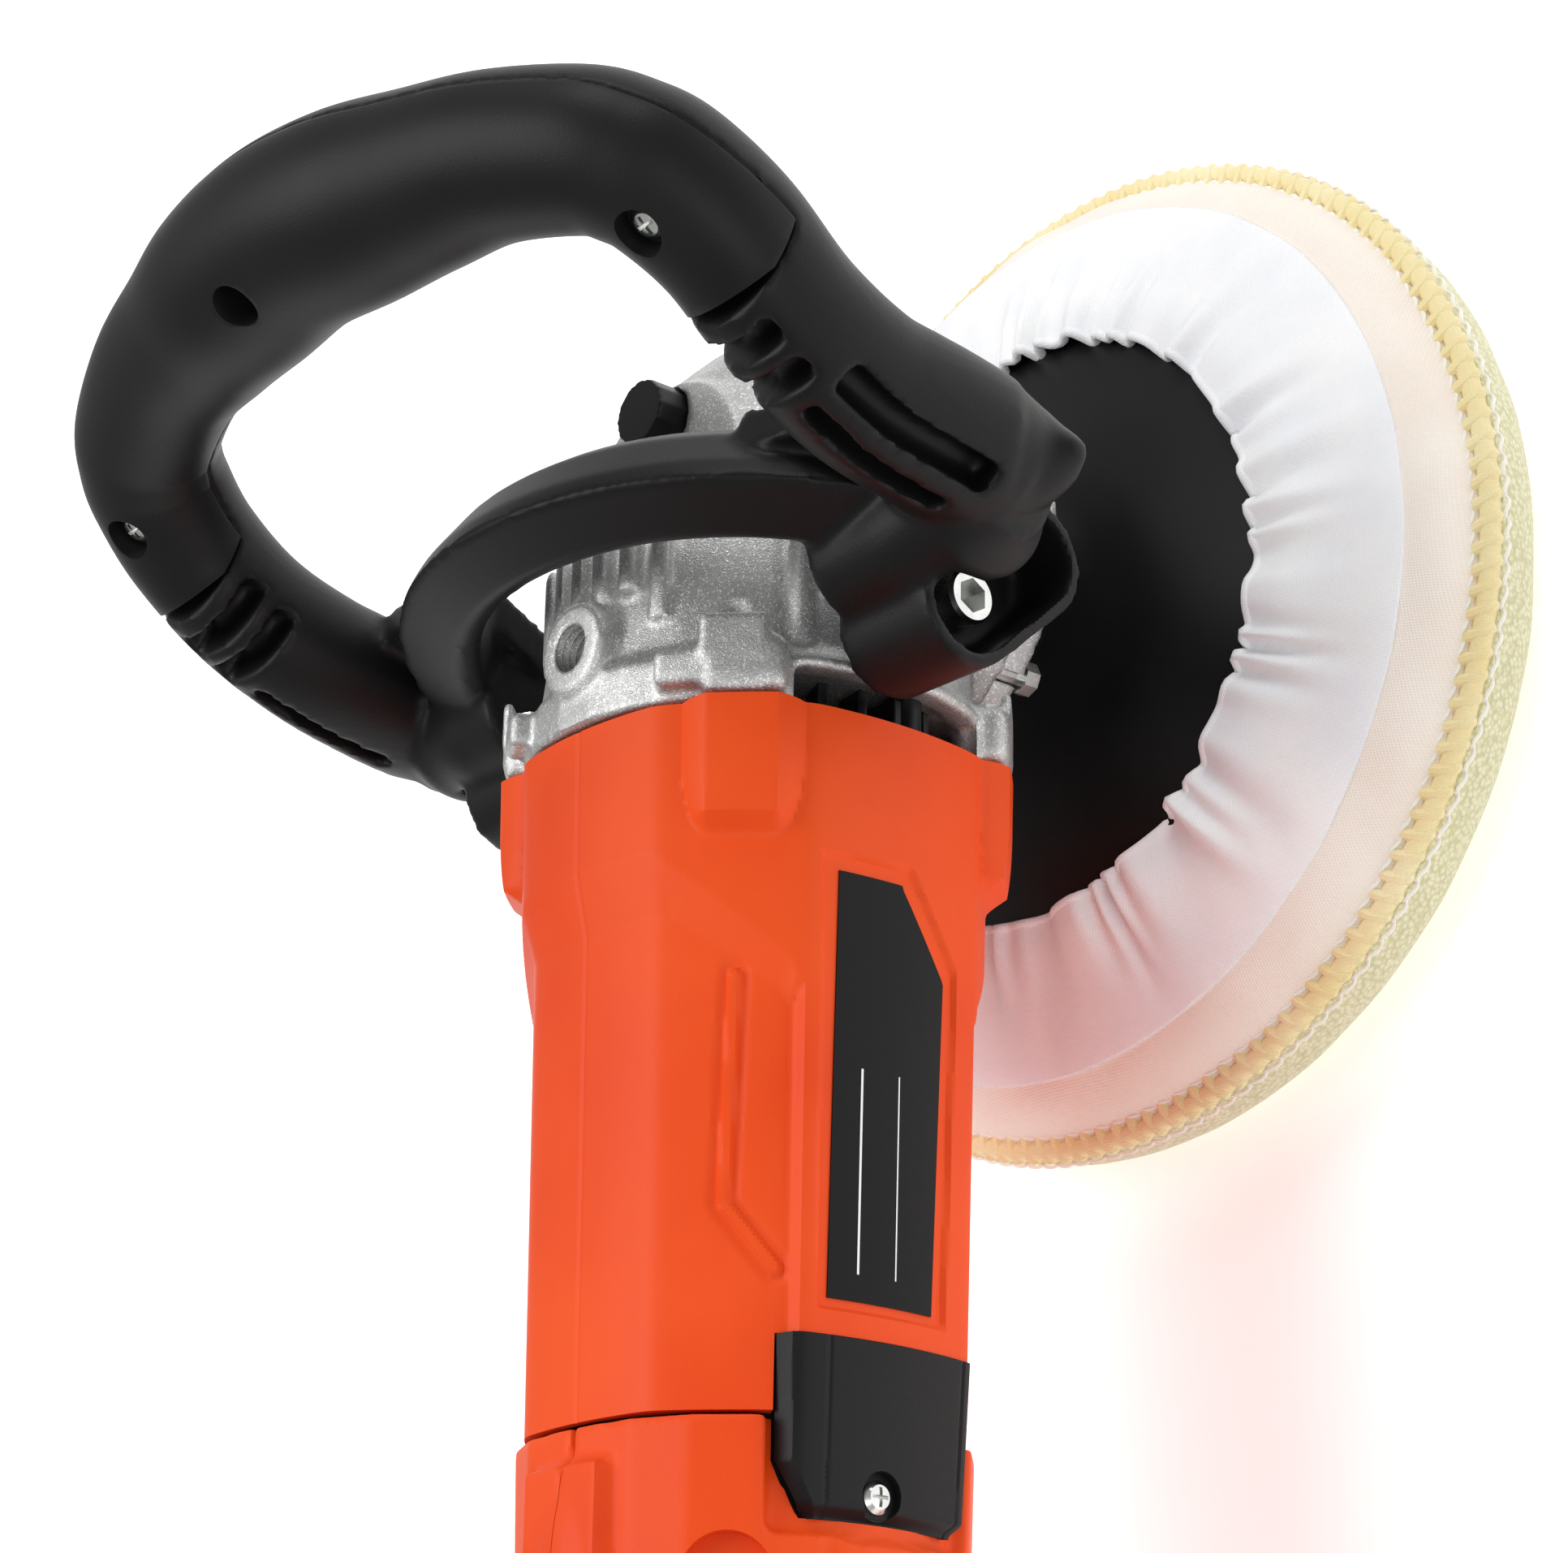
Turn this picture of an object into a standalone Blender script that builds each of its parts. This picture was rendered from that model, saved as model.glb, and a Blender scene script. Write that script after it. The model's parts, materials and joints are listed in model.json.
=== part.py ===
"""Rotary polisher with an in-line motor body, a loop handle over the gear case and a pad with a bonnet.

The origin is the centre of the bonnet's working face. The spindle stands on +Z, and the motor's
axis runs along X at AXIS_Z, with the gear case's nose at +X and the rear handle at -X.
"""
from math import atan, cos, pi, radians, sin

import bmesh
import bpy
from mathutils import Matrix, Vector

for leftover in list(bpy.data.objects):
    bpy.data.objects.remove(leftover)

# ---- driving dimensions, metres ----
AXIS_Z = 0.104              # height of the motor's axis over the working face
GAP = 0.0003                # clearance between pieces that touch
PLATE_RADIUS = 0.089        # backing plate
BONNET_RADIUS = 0.104       # pile edge of the bonnet
SEAM_RADIUS = 0.102         # overlocked seam of the bonnet
SEAM_Z = 0.0152
HEM_RADIUS = 0.0608         # open edge of the skirt
HEM_Z = 0.0362
PILE_THICK = 0.006          # pile under the foam disc
FOAM_THICK = 0.0117
PLATE_RIM_THICK = 0.007
HUB_RADIUS = 0.0155
HUB_TOP_Z = 0.052
THREAD_RADIUS = 0.007       # M14 spindle thread
CASE_BACK_X = -0.0502       # joint of gear case and motor housing
CASE_RADIUS = 0.0425
GEAR_CASE_OUTER = 0.038     # gear case round the spindle
GEAR_CASE_BORE = 0.0315
CASE_TOP_Z = 0.024          # all _Z values of the gear head are over the motor's axis
CASE_BOTTOM_Z = -0.036
HOUSING_BACK_X = -0.1723    # joint of motor housing and rear handle
HOUSING_FRONT_RADIUS = 0.0425
HOUSING_BACK_RADIUS = 0.0378
SIDE_BACK_RADIUS = 0.0390   # side panels at the back of the motor housing
HOUSING_BORE = 0.0343
FRONT_BORE = 0.0362
LUG_RADIUS = 0.0465         # outer reach of the four screw lugs
LUG_SCREW_RADIUS = 0.042
LUG_LENGTH = 0.023
LUG_WIDTH = 0.0118          # half width of a lug
SHAFT_RADIUS = 0.005
SHAFT_NOSE_RADIUS = 0.0028  # where the pinion sits
CORE_RADIUS = 0.019
STATOR_BORE = 0.020
STATOR_FRONT_X = -0.098
STATOR_BACK_X = -0.142
FAN_RADIUS = 0.031
BRUSH_X = -0.171
BRACKET_RADIUS = HOUSING_BORE - 0.0012  # brush bracket, clear of the housing and of the rear handle
COMMUTATOR_RADIUS = 0.012
HANDLE_BACK_X = -0.350
HANDLE_WALL = 0.003
HANDLE_ROOT_RADIUS = 0.0375
GRIP_HALF_WIDTH = 0.0185
GRIP_TOP_Z = 0.017
GRIP_BOTTOM_Z = -0.027
TRIGGER_HALF_WIDTH = 0.009
TRIGGER_FRONT_X = -0.242
TRIGGER_BACK_X = -0.302
TRIGGER_DROP = 0.011        # how far the trigger stands out under the grip
DIAL_RADIUS = 0.012
DIAL_HALF_WIDTH = 0.004
DIAL_X = -0.202
DIAL_Z = 0.0295
COVER_FRONT_X = -0.1596     # brush cover
COVER_BACK_X = -0.191
COVER_HALF_ANGLE = 34.0
COVER_THICK = 0.0025
LOOP_LEAN = 14.0            # degrees that the loop handle leans forward
LOOP_FOOT_X = -0.020        # where the loop's plane crosses the motor's axis
LOOP_SEAM = 0.0745          # where the grip cover ends, along the loop's plane
LOOP_GRIP_RADIUS = 0.0173    # at the middle of the grip
GRIP_PART_OUT = 0.0030      # where the grip's parting face starts, forward of the loop's plane
GRIP_PART_SLOPE = 0.36      # and how steeply it leans forward from there
LOOP_WALL = 0.0032
LOOP_BOLT_X = -0.031
BOSS_OUTER_Y = 0.067
BOSS_INNER_Y = 0.0445
RING_TEETH = 36
PINION_TEETH = 9
CONE_LENGTH = 0.02886       # from the meeting point of both axes to the teeth's outer ends
CONE_INNER = 0.0205
TEETH_BACKLASH_HALF = 0.0009  # half thickness of a tooth at the pitch cone
SIDE_HOLE_X = -0.0351
SIDE_BOSS_RADIUS = 0.0075
SIDE_HOLE_RADIUS = 0.0050
SIDE_BOSS_Z = 0.0432
LOCK_X = 0.0158             # spindle lock pin
LOCK_HOLES = 6              # even, so that the pin also finds a hole half a turn on
LABEL_FRONT_X = -0.080
LABEL_BACK_X = -0.150
LABEL_THICK = 0.0004

AXIS = Vector((0.0, 0.0, AXIS_Z))
scene_objects = bpy.context.scene.collection.objects


# ---- materials ----
def material(name, colour, roughness, metallic=0.0):
    """A plain Principled material in linear colour."""
    made = bpy.data.materials.new(name)
    made.use_nodes = True
    shader = made.node_tree.nodes["Principled BSDF"]
    shader.inputs["Base Color"].default_value = (*colour, 1.0)
    shader.inputs["Roughness"].default_value = roughness
    shader.inputs["Metallic"].default_value = metallic
    return made


ORANGE = material("orange_nylon", (0.80, 0.08, 0.018), 0.42)
BLACK = material("black_nylon", (0.014, 0.014, 0.015), 0.48)
CAST = material("cast_aluminium", (0.33, 0.33, 0.33), 0.45, 1.0)
STEEL = material("steel", (0.45, 0.45, 0.46), 0.35, 1.0)
ZINC = material("bright_zinc", (0.62, 0.63, 0.62), 0.28, 1.0)
COPPER = material("copper", (0.72, 0.32, 0.16), 0.35, 1.0)
BRASS = material("brass", (0.70, 0.48, 0.18), 0.35, 1.0)
CARBON = material("carbon", (0.03, 0.03, 0.03), 0.7)
LAMINATION = material("lamination_steel", (0.22, 0.22, 0.23), 0.5, 1.0)
FOAM = material("white_foam", (0.75, 0.74, 0.70), 0.95)
COTTON = material("white_cotton", (0.82, 0.82, 0.84), 0.9)
GLOSS = material("gloss_black", (0.006, 0.006, 0.007), 0.15)
RUBBER = material("black_rubber", (0.02, 0.02, 0.02), 0.7)


# ---- shape helpers ----
WIDE = 30                   # sides of the large round pieces
ROUND = 20
SMALL = 12
TINY = 8


def add_object(name, points, faces, surface):
    """One closed mesh object in world coordinates, with its faces turned outwards."""
    mesh = bpy.data.meshes.new(name)
    mesh.from_pydata([tuple(point) for point in points], [], faces)
    body = bmesh.new()
    body.from_mesh(mesh)
    bmesh.ops.recalc_face_normals(body, faces=body.faces)
    body.to_mesh(mesh)
    body.free()
    mesh.shade_smooth()
    mesh.set_sharp_from_angle(angle=radians(35))
    made = bpy.data.objects.new(name, mesh)
    scene_objects.link(made)
    if surface:
        mesh.materials.append(surface)
    else:
        made.hide_render = True
        made.display_type = "WIRE"
    return made


def frame_of(axis):
    """Two cross directions and the axis direction itself, right-handed."""
    along = Vector(axis).normalized()
    side = Vector((0.0, 1.0, 0.0)) if abs(along.x) > 0.9 else Vector((1.0, 0.0, 0.0))
    side = (side - along * side.dot(along)).normalized()
    return side, along.cross(side), along


def turned(name, profile, axis, centre, surface, sides=24):
    """Turn a closed profile of (radius, height) round an axis through centre."""
    across, up, along = frame_of(axis)
    points = []
    rings = []
    for radius, height in profile:
        base = Vector(centre) + along * height
        if radius < 1e-7:
            rings.append([len(points)] * sides)
            points.append(base)
            continue
        rings.append(list(range(len(points), len(points) + sides)))
        for step in range(sides):
            angle = 2.0 * pi * step / sides
            points.append(base + (across * cos(angle) + up * sin(angle)) * radius)
    faces = []
    for ring, following in zip(rings, rings[1:] + rings[:1]):
        for step in range(sides):
            after = (step + 1) % sides
            corners = [ring[step], ring[after], following[after], following[step]]
            corners = [c for i, c in enumerate(corners) if c not in corners[:i]]
            if len(corners) > 2:
                faces.append(corners)
    return add_object(name, points, faces, surface)


def tube(name, outer, inner, start, end, axis, centre, surface, sides=24):
    """A plain ring or, with inner 0, a plain disc."""
    profile = [(outer, start), (outer, end), (inner, end), (inner, start)]
    return turned(name, profile, axis, centre, surface, sides)


def lofted(name, sections, surface):
    """Skin through sections of equal point count, with flat ends."""
    count = len(sections[0])
    points = [point for section in sections for point in section]
    faces = []
    for level in range(len(sections) - 1):
        low = level * count
        high = low + count
        for step in range(count):
            after = (step + 1) % count
            faces.append([low + step, low + after, high + after, high + step])
    faces.append(list(range(count)))
    faces.append(list(range(len(points) - count, len(points))))
    return add_object(name, points, faces, surface)


def box(name, low, high, surface):
    """A block between two corners."""
    sections = []
    for x in (low[0], high[0]):
        sections.append([
            Vector((x, low[1], low[2])), Vector((x, high[1], low[2])),
            Vector((x, high[1], high[2])), Vector((x, low[1], high[2])),
        ])
    return lofted(name, sections, surface)


def oval(centre, across, up, half_width, half_height, sides=16, power=2.4):
    """Points of a superellipse round centre."""
    points = []
    for step in range(sides):
        angle = 2.0 * pi * (step + 0.5) / sides
        wide = abs(cos(angle)) ** (2.0 / power) * (1 if cos(angle) > 0 else -1)
        tall = abs(sin(angle)) ** (2.0 / power) * (1 if sin(angle) > 0 else -1)
        points.append(centre + across * (wide * half_width) + up * (tall * half_height))
    return points


MANIFOLD_BODIES = ("gear_case", "motor_housing", "rear_handle_right", "rear_handle_left", "loop_handle", "grip_cover")


def boolean(target, tool, operation):
    """Cut, join or intersect target with a hidden tool object."""
    change = target.modifiers.new(tool.name, "BOOLEAN")
    change.operation = operation
    change.solver = "MANIFOLD" if target.name in MANIFOLD_BODIES else "EXACT"
    change.object = tool
    tool.hide_render = True
    tool.display_type = "WIRE"


def cut(target, tool):
    """Take tool out of target."""
    boolean(target, tool, "DIFFERENCE")


def join(target, tool):
    """Add tool to target."""
    boolean(target, tool, "UNION")


def set_origin(made, point):
    """Move an object's origin to a point without moving its shape."""
    made.data.transform(Matrix.Translation(-Vector(point)))
    made.location = point


def on_axis(x, angle, radius):
    """A point round the motor's axis; angle is measured from the top towards -Y."""
    turn = radians(angle)
    return Vector((x, -radius * sin(turn), AXIS_Z + radius * cos(turn)))


def radial(angle):
    """The outward direction round the motor's axis."""
    turn = radians(angle)
    return Vector((0.0, -sin(turn), cos(turn)))


# ---- pad ----
FOAM_BOTTOM = PILE_THICK + GAP
FOAM_TOP = FOAM_BOTTOM + FOAM_THICK
PLATE_BOTTOM = FOAM_TOP + GAP
PLATE_RIM_TOP = PLATE_BOTTOM + PLATE_RIM_THICK
CLOTH = 0.0012


def make_pad():
    """Bonnet, foam disc and backing plate, all turned round the spindle."""
    plate_under_hem = HEM_Z - CLOTH - 0.0006
    plate = turned("backing_plate", [
        (THREAD_RADIUS + GAP, PLATE_BOTTOM), (PLATE_RADIUS, PLATE_BOTTOM), (PLATE_RADIUS, PLATE_RIM_TOP),
        (HEM_RADIUS, plate_under_hem), (HUB_RADIUS + 0.008, HUB_TOP_Z - 0.009),
        (HUB_RADIUS, HUB_TOP_Z - 0.005), (HUB_RADIUS, HUB_TOP_Z), (THREAD_RADIUS + GAP, HUB_TOP_Z),
    ], (0, 0, 1), (0, 0, 0), BLACK, WIDE)
    foam = tube("foam_disc", PLATE_RADIUS - 0.002, 0.009, FOAM_BOTTOM, FOAM_TOP, (0, 0, 1), (0, 0, 0), FOAM, WIDE)
    pocket = PLATE_RADIUS + 2 * GAP
    slope = (plate_under_hem - PLATE_RIM_TOP) / (PLATE_RADIUS - HEM_RADIUS)
    lining = PLATE_RIM_TOP + 2 * GAP
    bonnet = turned("bonnet", [
        (0.0, 0.0), (BONNET_RADIUS - 0.004, 0.0), (BONNET_RADIUS, 0.004), (BONNET_RADIUS, SEAM_Z - 0.003),
        (SEAM_RADIUS, SEAM_Z), (pocket + CLOTH, lining + CLOTH), (HEM_RADIUS, HEM_Z),
        (HEM_RADIUS, lining + slope * (pocket - HEM_RADIUS)), (pocket, lining), (pocket, FOAM_BOTTOM - GAP),
        (0.0, FOAM_BOTTOM - GAP),
    ], (0, 0, 1), (0, 0, 0), COTTON, WIDE)
    return plate, foam, bonnet


# ---- bevel gears ----
PITCH_RING = atan(RING_TEETH / PINION_TEETH)
PITCH_PINION = atan(PINION_TEETH / RING_TEETH)
ADDENDUM = radians(2.2)
DEDENDUM = radians(3.2)


def toothed_rings(teeth, pitch, axis, across, length, turn):
    """Points of the teeth on a sphere of one cone length, four for each tooth."""
    up = axis.cross(across)
    pitch_radius = CONE_LENGTH * sin(pitch)
    points = []
    for tooth in range(teeth):
        centre = turn + 2.0 * pi * tooth / teeth
        for offset, cone in ((-1.45, pitch - DEDENDUM), (-0.6, pitch + ADDENDUM),
                             (0.6, pitch + ADDENDUM), (1.45, pitch - DEDENDUM)):
            angle = centre + offset * TEETH_BACKLASH_HALF / pitch_radius
            spread = across * cos(angle) + up * sin(angle)
            points.append(AXIS + (axis * cos(cone) + spread * sin(cone)) * length)
    return points


def bevel_gear(name, teeth, pitch, axis, across, turn, back, hub_radius, front_drop):
    """A bevel gear whose teeth lie on rays from the point where both axes meet."""
    outer = toothed_rings(teeth, pitch, axis, across, CONE_LENGTH, turn)
    inner = toothed_rings(teeth, pitch, axis, across, CONE_INNER, turn)

    def flattened(points, radius, depth):
        ring = []
        for point in points:
            arm = point - AXIS
            arm -= axis * arm.dot(axis)
            ring.append(AXIS + arm.normalized() * radius + axis * depth)
        return ring

    root_radius = CONE_INNER * sin(pitch - DEDENDUM)
    root_depth = CONE_INNER * cos(pitch - DEDENDUM)
    front = flattened(inner, root_radius * 0.9, root_depth + front_drop)
    rim = flattened(outer, hub_radius, back)
    return lofted(name, [front, inner, outer, rim], STEEL)


# ---- spindle group, heights over the motor's axis ----
LOWER_BEARING = (-0.0340, -0.0230)
UPPER_BEARING = (0.0040, 0.0130)
RING_BACK = -0.0180


def lock_turned(number):
    """Centre of one of the output gear's lock holes."""
    turn = 2 * pi * number / LOCK_HOLES
    return (LOCK_X * cos(turn), LOCK_X * sin(turn), AXIS_Z)


def make_spindle_group():
    """Spindle with its gear and bearings, the bearing cover and the spindle lock."""
    up = (0, 0, 1)
    thread_bottom = PLATE_BOTTOM + 0.005 - AXIS_Z
    flange = HUB_TOP_Z + GAP - AXIS_Z
    spindle = turned("spindle", [
        (0.0, thread_bottom), (THREAD_RADIUS - 0.001, thread_bottom), (THREAD_RADIUS, thread_bottom + 0.001),
        (THREAD_RADIUS, flange), (0.0115, flange), (0.0115, flange + 0.0028), (0.0090, flange + 0.0028),
        (0.0090, LOWER_BEARING[0] - GAP), (0.0075, LOWER_BEARING[0] - GAP), (0.0075, RING_BACK - 2 * GAP),
        (0.0068, RING_BACK - 2 * GAP), (0.0068, -0.0035), (SHAFT_RADIUS, -0.0035), (SHAFT_RADIUS, 0.0138),
        (0.0, 0.0138),
    ], up, AXIS, STEEL, ROUND)
    ring = bevel_gear("output_gear", RING_TEETH, PITCH_RING, Vector((0, 0, -1)), Vector((-1, 0, 0)),
                      pi / RING_TEETH, -RING_BACK, 0.0255, -0.0010)
    cut(ring, tube("gear_bore", 0.0068 + GAP, 0.0, -0.03, 0.01, up, AXIS, None, ROUND))
    lock_hole = (LOCK_X, 0, AXIS_Z)
    for number in range(LOCK_HOLES):
        place = lock_turned(number)
        cut(ring, tube("lock_hole_in_gear", 0.0029, 0.0, -0.03, 0.01, up, place, None, SMALL))
    lower = tube("lower_spindle_bearing", 0.0175, 0.0075 + GAP, *LOWER_BEARING, up, AXIS, STEEL)
    upper = tube("upper_spindle_bearing", 0.0110, SHAFT_RADIUS + GAP, *UPPER_BEARING, up, AXIS, STEEL)
    cover = turned("bearing_cover", [
        (0.0118, -0.0470), (0.0160, -0.0470), (0.0160, -0.0420), (GEAR_CASE_OUTER - 0.001, -0.0420),
        (GEAR_CASE_OUTER - 0.001, CASE_BOTTOM_Z - GAP), (GEAR_CASE_BORE - 0.0006, CASE_BOTTOM_Z - GAP),
        (GEAR_CASE_BORE - 0.0006, -0.0300), (0.0215, -0.0300), (0.0215, -0.0215), (0.0178, -0.0215),
        (0.0178, LOWER_BEARING[0] - GAP), (0.0118, LOWER_BEARING[0] - GAP),
    ], up, AXIS, CAST, WIDE)
    for number in range(4):
        turn = radians(45 + 90 * number)
        place = AXIS + Vector((cos(turn), sin(turn), 0)) * 0.0345
        cut(cover, tube(f"cover_hole_{number}", 0.0023, 0.0, -0.05, -0.03, up, place, None, TINY))
        turned(f"cover_screw_{number + 1}", [
            (0.0, -0.0455), (0.0034, -0.0455), (0.0034, -0.0423), (0.0019, -0.0423), (0.0019, -0.0290), (0.0, -0.0290),
        ], up, place, ZINC, TINY)
    lock = turned("spindle_lock_button", [
        (0.0, -0.0030), (0.0024, -0.0030), (0.0024, 0.0185), (0.0065, 0.0185), (0.0065, CASE_TOP_Z + 0.0060),
        (0.0, CASE_TOP_Z + 0.0060),
    ], up, lock_hole, BLACK, SMALL)
    set_origin(lock, lock_hole)
    return spindle, ring, lower, upper, cover


# ---- gear case ----
def make_gear_case():
    """Cast case: a round back flange on the motor's axis and a turned head round the spindle."""
    along = (1, 0, 0)
    up = (0, 0, 1)
    flange = CASE_BACK_X + GAP
    case = turned("gear_case", [
        (0.0, flange), (CASE_RADIUS, flange), (CASE_RADIUS, -0.0415), (0.0402, -0.0385), (0.0375, -0.0150),
        (0.0330, 0.0), (0.0, 0.0),
    ], along, AXIS, CAST, WIDE)
    join(case, turned("case_head", [
        (0.0, CASE_BOTTOM_Z), (GEAR_CASE_OUTER, CASE_BOTTOM_Z), (GEAR_CASE_OUTER, -0.0020),
        (0.0340, 0.0110), (0.0240, CASE_TOP_Z - 0.003), (0.0225, CASE_TOP_Z), (0.0, CASE_TOP_Z),
    ], up, AXIS, None, WIDE))
    join(case, tube("side_handle_boss", SIDE_BOSS_RADIUS, 0.0, 0.020, SIDE_BOSS_Z, up,
                    (SIDE_HOLE_X, 0, AXIS_Z), None, SMALL))
    for side in (-1, 1):
        join(case, tube(f"bolt_boss_{side}", 0.0085, 0.0, 0.030, BOSS_INNER_Y - GAP, (0, side, 0),
                        (LOOP_BOLT_X, 0, AXIS_Z), None, SMALL))
    for number in range(4):
        angle = 45 + 90 * number
        out = radial(angle)
        flat = out.cross(Vector((1, 0, 0)))
        sections = []
        for x in (flange, -0.0395):
            centre = on_axis(x, angle, 0.0385)
            sections.append([
                centre - flat * 0.006 - out * 0.004, centre + flat * 0.006 - out * 0.004,
                centre + flat * 0.0045 + out * 0.0075, centre - flat * 0.0045 + out * 0.0075,
            ])
        join(case, lofted(f"case_lug_{number}", sections, None))
    cut(case, box("cover_face", (-0.0380, -0.06, AXIS_Z - 0.06), (0.06, 0.06, AXIS_Z + CASE_BOTTOM_Z), None))
    cut(case, tube("fan_skirt_bore", 0.0375, 0.0, CASE_BACK_X - 0.01, -0.0420, along, AXIS, None, ROUND))
    join(case, tube("front_bearing_seat", 0.0175, 0.0, -0.0500, -0.0380, along, AXIS, None, ROUND))
    cut(case, tube("front_bearing_bore", 0.0130 + GAP, 0.0, -0.0600, -0.0400, along, AXIS, None, ROUND))
    cut(case, tube("pinion_bore", 0.0105, 0.0, -0.0450, -0.0100, along, AXIS, None, ROUND))
    cut(case, tube("gear_bore_in_case", GEAR_CASE_BORE, 0.0, CASE_BOTTOM_Z - 0.01, -0.0010, up, AXIS, None, WIDE))
    cut(case, tube("gear_room", 0.0150, 0.0, -0.0100, 0.0035, up, AXIS, None, ROUND))
    cut(case, tube("upper_bearing_bore", 0.0110 + GAP, 0.0, 0.0030, UPPER_BEARING[1] + GAP, up, AXIS, None, ROUND))
    cut(case, tube("upper_shaft_room", 0.0070, 0.0, 0.0120, 0.0150, up, AXIS, None, SMALL))
    cut(case, tube("lock_pin_bore", 0.0027, 0.0, -0.0050, 0.0125, up, (LOCK_X, 0, AXIS_Z), None, SMALL))
    cut(case, tube("lock_button_bore", 0.0068, 0.0, 0.0122, 0.0400, up, (LOCK_X, 0, AXIS_Z), None, SMALL))
    cut(case, tube("side_hole", SIDE_HOLE_RADIUS, 0.0, 0.0300, 0.0500, up, (SIDE_HOLE_X, 0, AXIS_Z), None, SMALL))
    for side in (-1, 1):
        cut(case, tube(f"bolt_hole_{side}", 0.0032, 0.0, 0.0345, 0.0600, (0, side, 0),
                       (LOOP_BOLT_X, 0, AXIS_Z), None, TINY))
    cut(case, box("exhaust_window", (CASE_BACK_X - 0.005, -0.06, AXIS_Z - 0.0215), (-0.0432, 0.06, AXIS_Z + 0.0215), None))
    for number in range(4):
        place = on_axis(0, 45 + 90 * number, LUG_SCREW_RADIUS)
        cut(case, tube(f"screw_head_room_{number}", 0.0039, 0.0, -0.0394, -0.0300, along, place, None, TINY))
        cut(case, tube(f"lug_hole_{number}", 0.0021, 0.0, -0.07, -0.03, along, place, None, TINY))
        screw_angle = radians(45 + 90 * number)
        base = AXIS + Vector((cos(screw_angle), sin(screw_angle), 0)) * 0.0345
        cut(case, tube(f"cover_screw_hole_{number}", 0.0022, 0.0, -0.05, -0.0280, up, base, None, TINY))
    return case


# ---- motor housing ----
def body_radius(angle, radius):
    """Radius of the softly faceted body at an angle from the top, in degrees."""
    corners = (26.0, 63.0, 117.0, 154.0, 206.0, 243.0, 297.0, 334.0, 386.0)
    start = corners[-2] - 360.0
    for corner in corners:
        if angle <= corner:
            middle = (start + corner) / 2
            half = (corner - start) / 2
            flat = cos(radians(half)) / cos(radians(angle - middle))
            return radius * (0.45 + 0.55 * flat) * 1.02
        start = corner
    return radius


BODY_ANGLES = [step * 9.0 for step in range(40)]


def side_reach(x):
    """Radius of the raised side panels, which taper evenly to the back."""
    along = (x - HOUSING_BACK_X) / (CASE_BACK_X - HOUSING_BACK_X)
    return SIDE_BACK_RADIUS + (HOUSING_FRONT_RADIUS - SIDE_BACK_RADIUS) * along


def body_ring(x, radius):
    """A section of the faceted body, with its side panels."""
    points = []
    for angle in BODY_ANGLES:
        on_panel = 62.0 < angle % 180.0 < 118.0
        points.append(on_axis(x, angle, body_radius(angle, side_reach(x) if on_panel else radius)))
    return points


def make_motor_housing():
    """Faceted barrel with four screw lugs, bored for the motor's parts."""
    along = (1, 0, 0)
    front = CASE_BACK_X - GAP
    shoulder = 0.0030
    rings = [
        body_ring(HOUSING_BACK_X + GAP, HOUSING_BACK_RADIUS),
        body_ring(front - 0.0420, HOUSING_FRONT_RADIUS - shoulder),
        body_ring(front - 0.0330, HOUSING_FRONT_RADIUS),
        body_ring(front - 0.0100, HOUSING_FRONT_RADIUS + 0.0004),
        [on_axis(front, angle, HOUSING_FRONT_RADIUS) for angle in BODY_ANGLES],
    ]
    housing = lofted("motor_housing", rings, ORANGE)
    for number in range(4):
        angle = 45 + 90 * number
        out = radial(angle)
        flat = out.cross(Vector((1, 0, 0)))
        sections = []
        for x, scale in ((front, 1.0), (front - LUG_LENGTH + 0.007, 1.0), (front - LUG_LENGTH, 0.6)):
            centre = on_axis(x, angle, 0.0380)
            reach = LUG_RADIUS - 0.0380
            sections.append([
                centre - flat * LUG_WIDTH * scale, centre + flat * LUG_WIDTH * scale,
                centre + flat * LUG_WIDTH * 0.72 * scale + out * reach * 0.7,
                centre + flat * 0.005 * scale + out * reach,
                centre - flat * 0.005 * scale + out * reach,
                centre - flat * LUG_WIDTH * 0.72 * scale + out * reach * 0.7,
            ])
        join(housing, lofted(f"housing_lug_{number}", sections, None))
    cut(housing, tube("stator_bore_in_housing", HOUSING_BORE, 0.0, HOUSING_BACK_X - 0.01, -0.06, along, AXIS, None, WIDE))
    cut(housing, tube("fan_bore", FRONT_BORE, 0.0, -0.0900, CASE_BACK_X + 0.01, along, AXIS, None, WIDE))
    for number in range(4):
        place = on_axis(0, 45 + 90 * number, LUG_SCREW_RADIUS)
        cut(housing, tube(f"housing_screw_hole_{number}", 0.0021, 0.0, -0.0650, -0.0400, along, place, None, TINY))
        turned(f"housing_screw_{number + 1}", [
            (0.0, -0.0630), (0.0018, -0.0630), (0.0018, -0.0392), (0.0034, -0.0392), (0.0034, -0.0362), (0.0, -0.0362),
        ], along, place, ZINC, TINY)
    return housing


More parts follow.
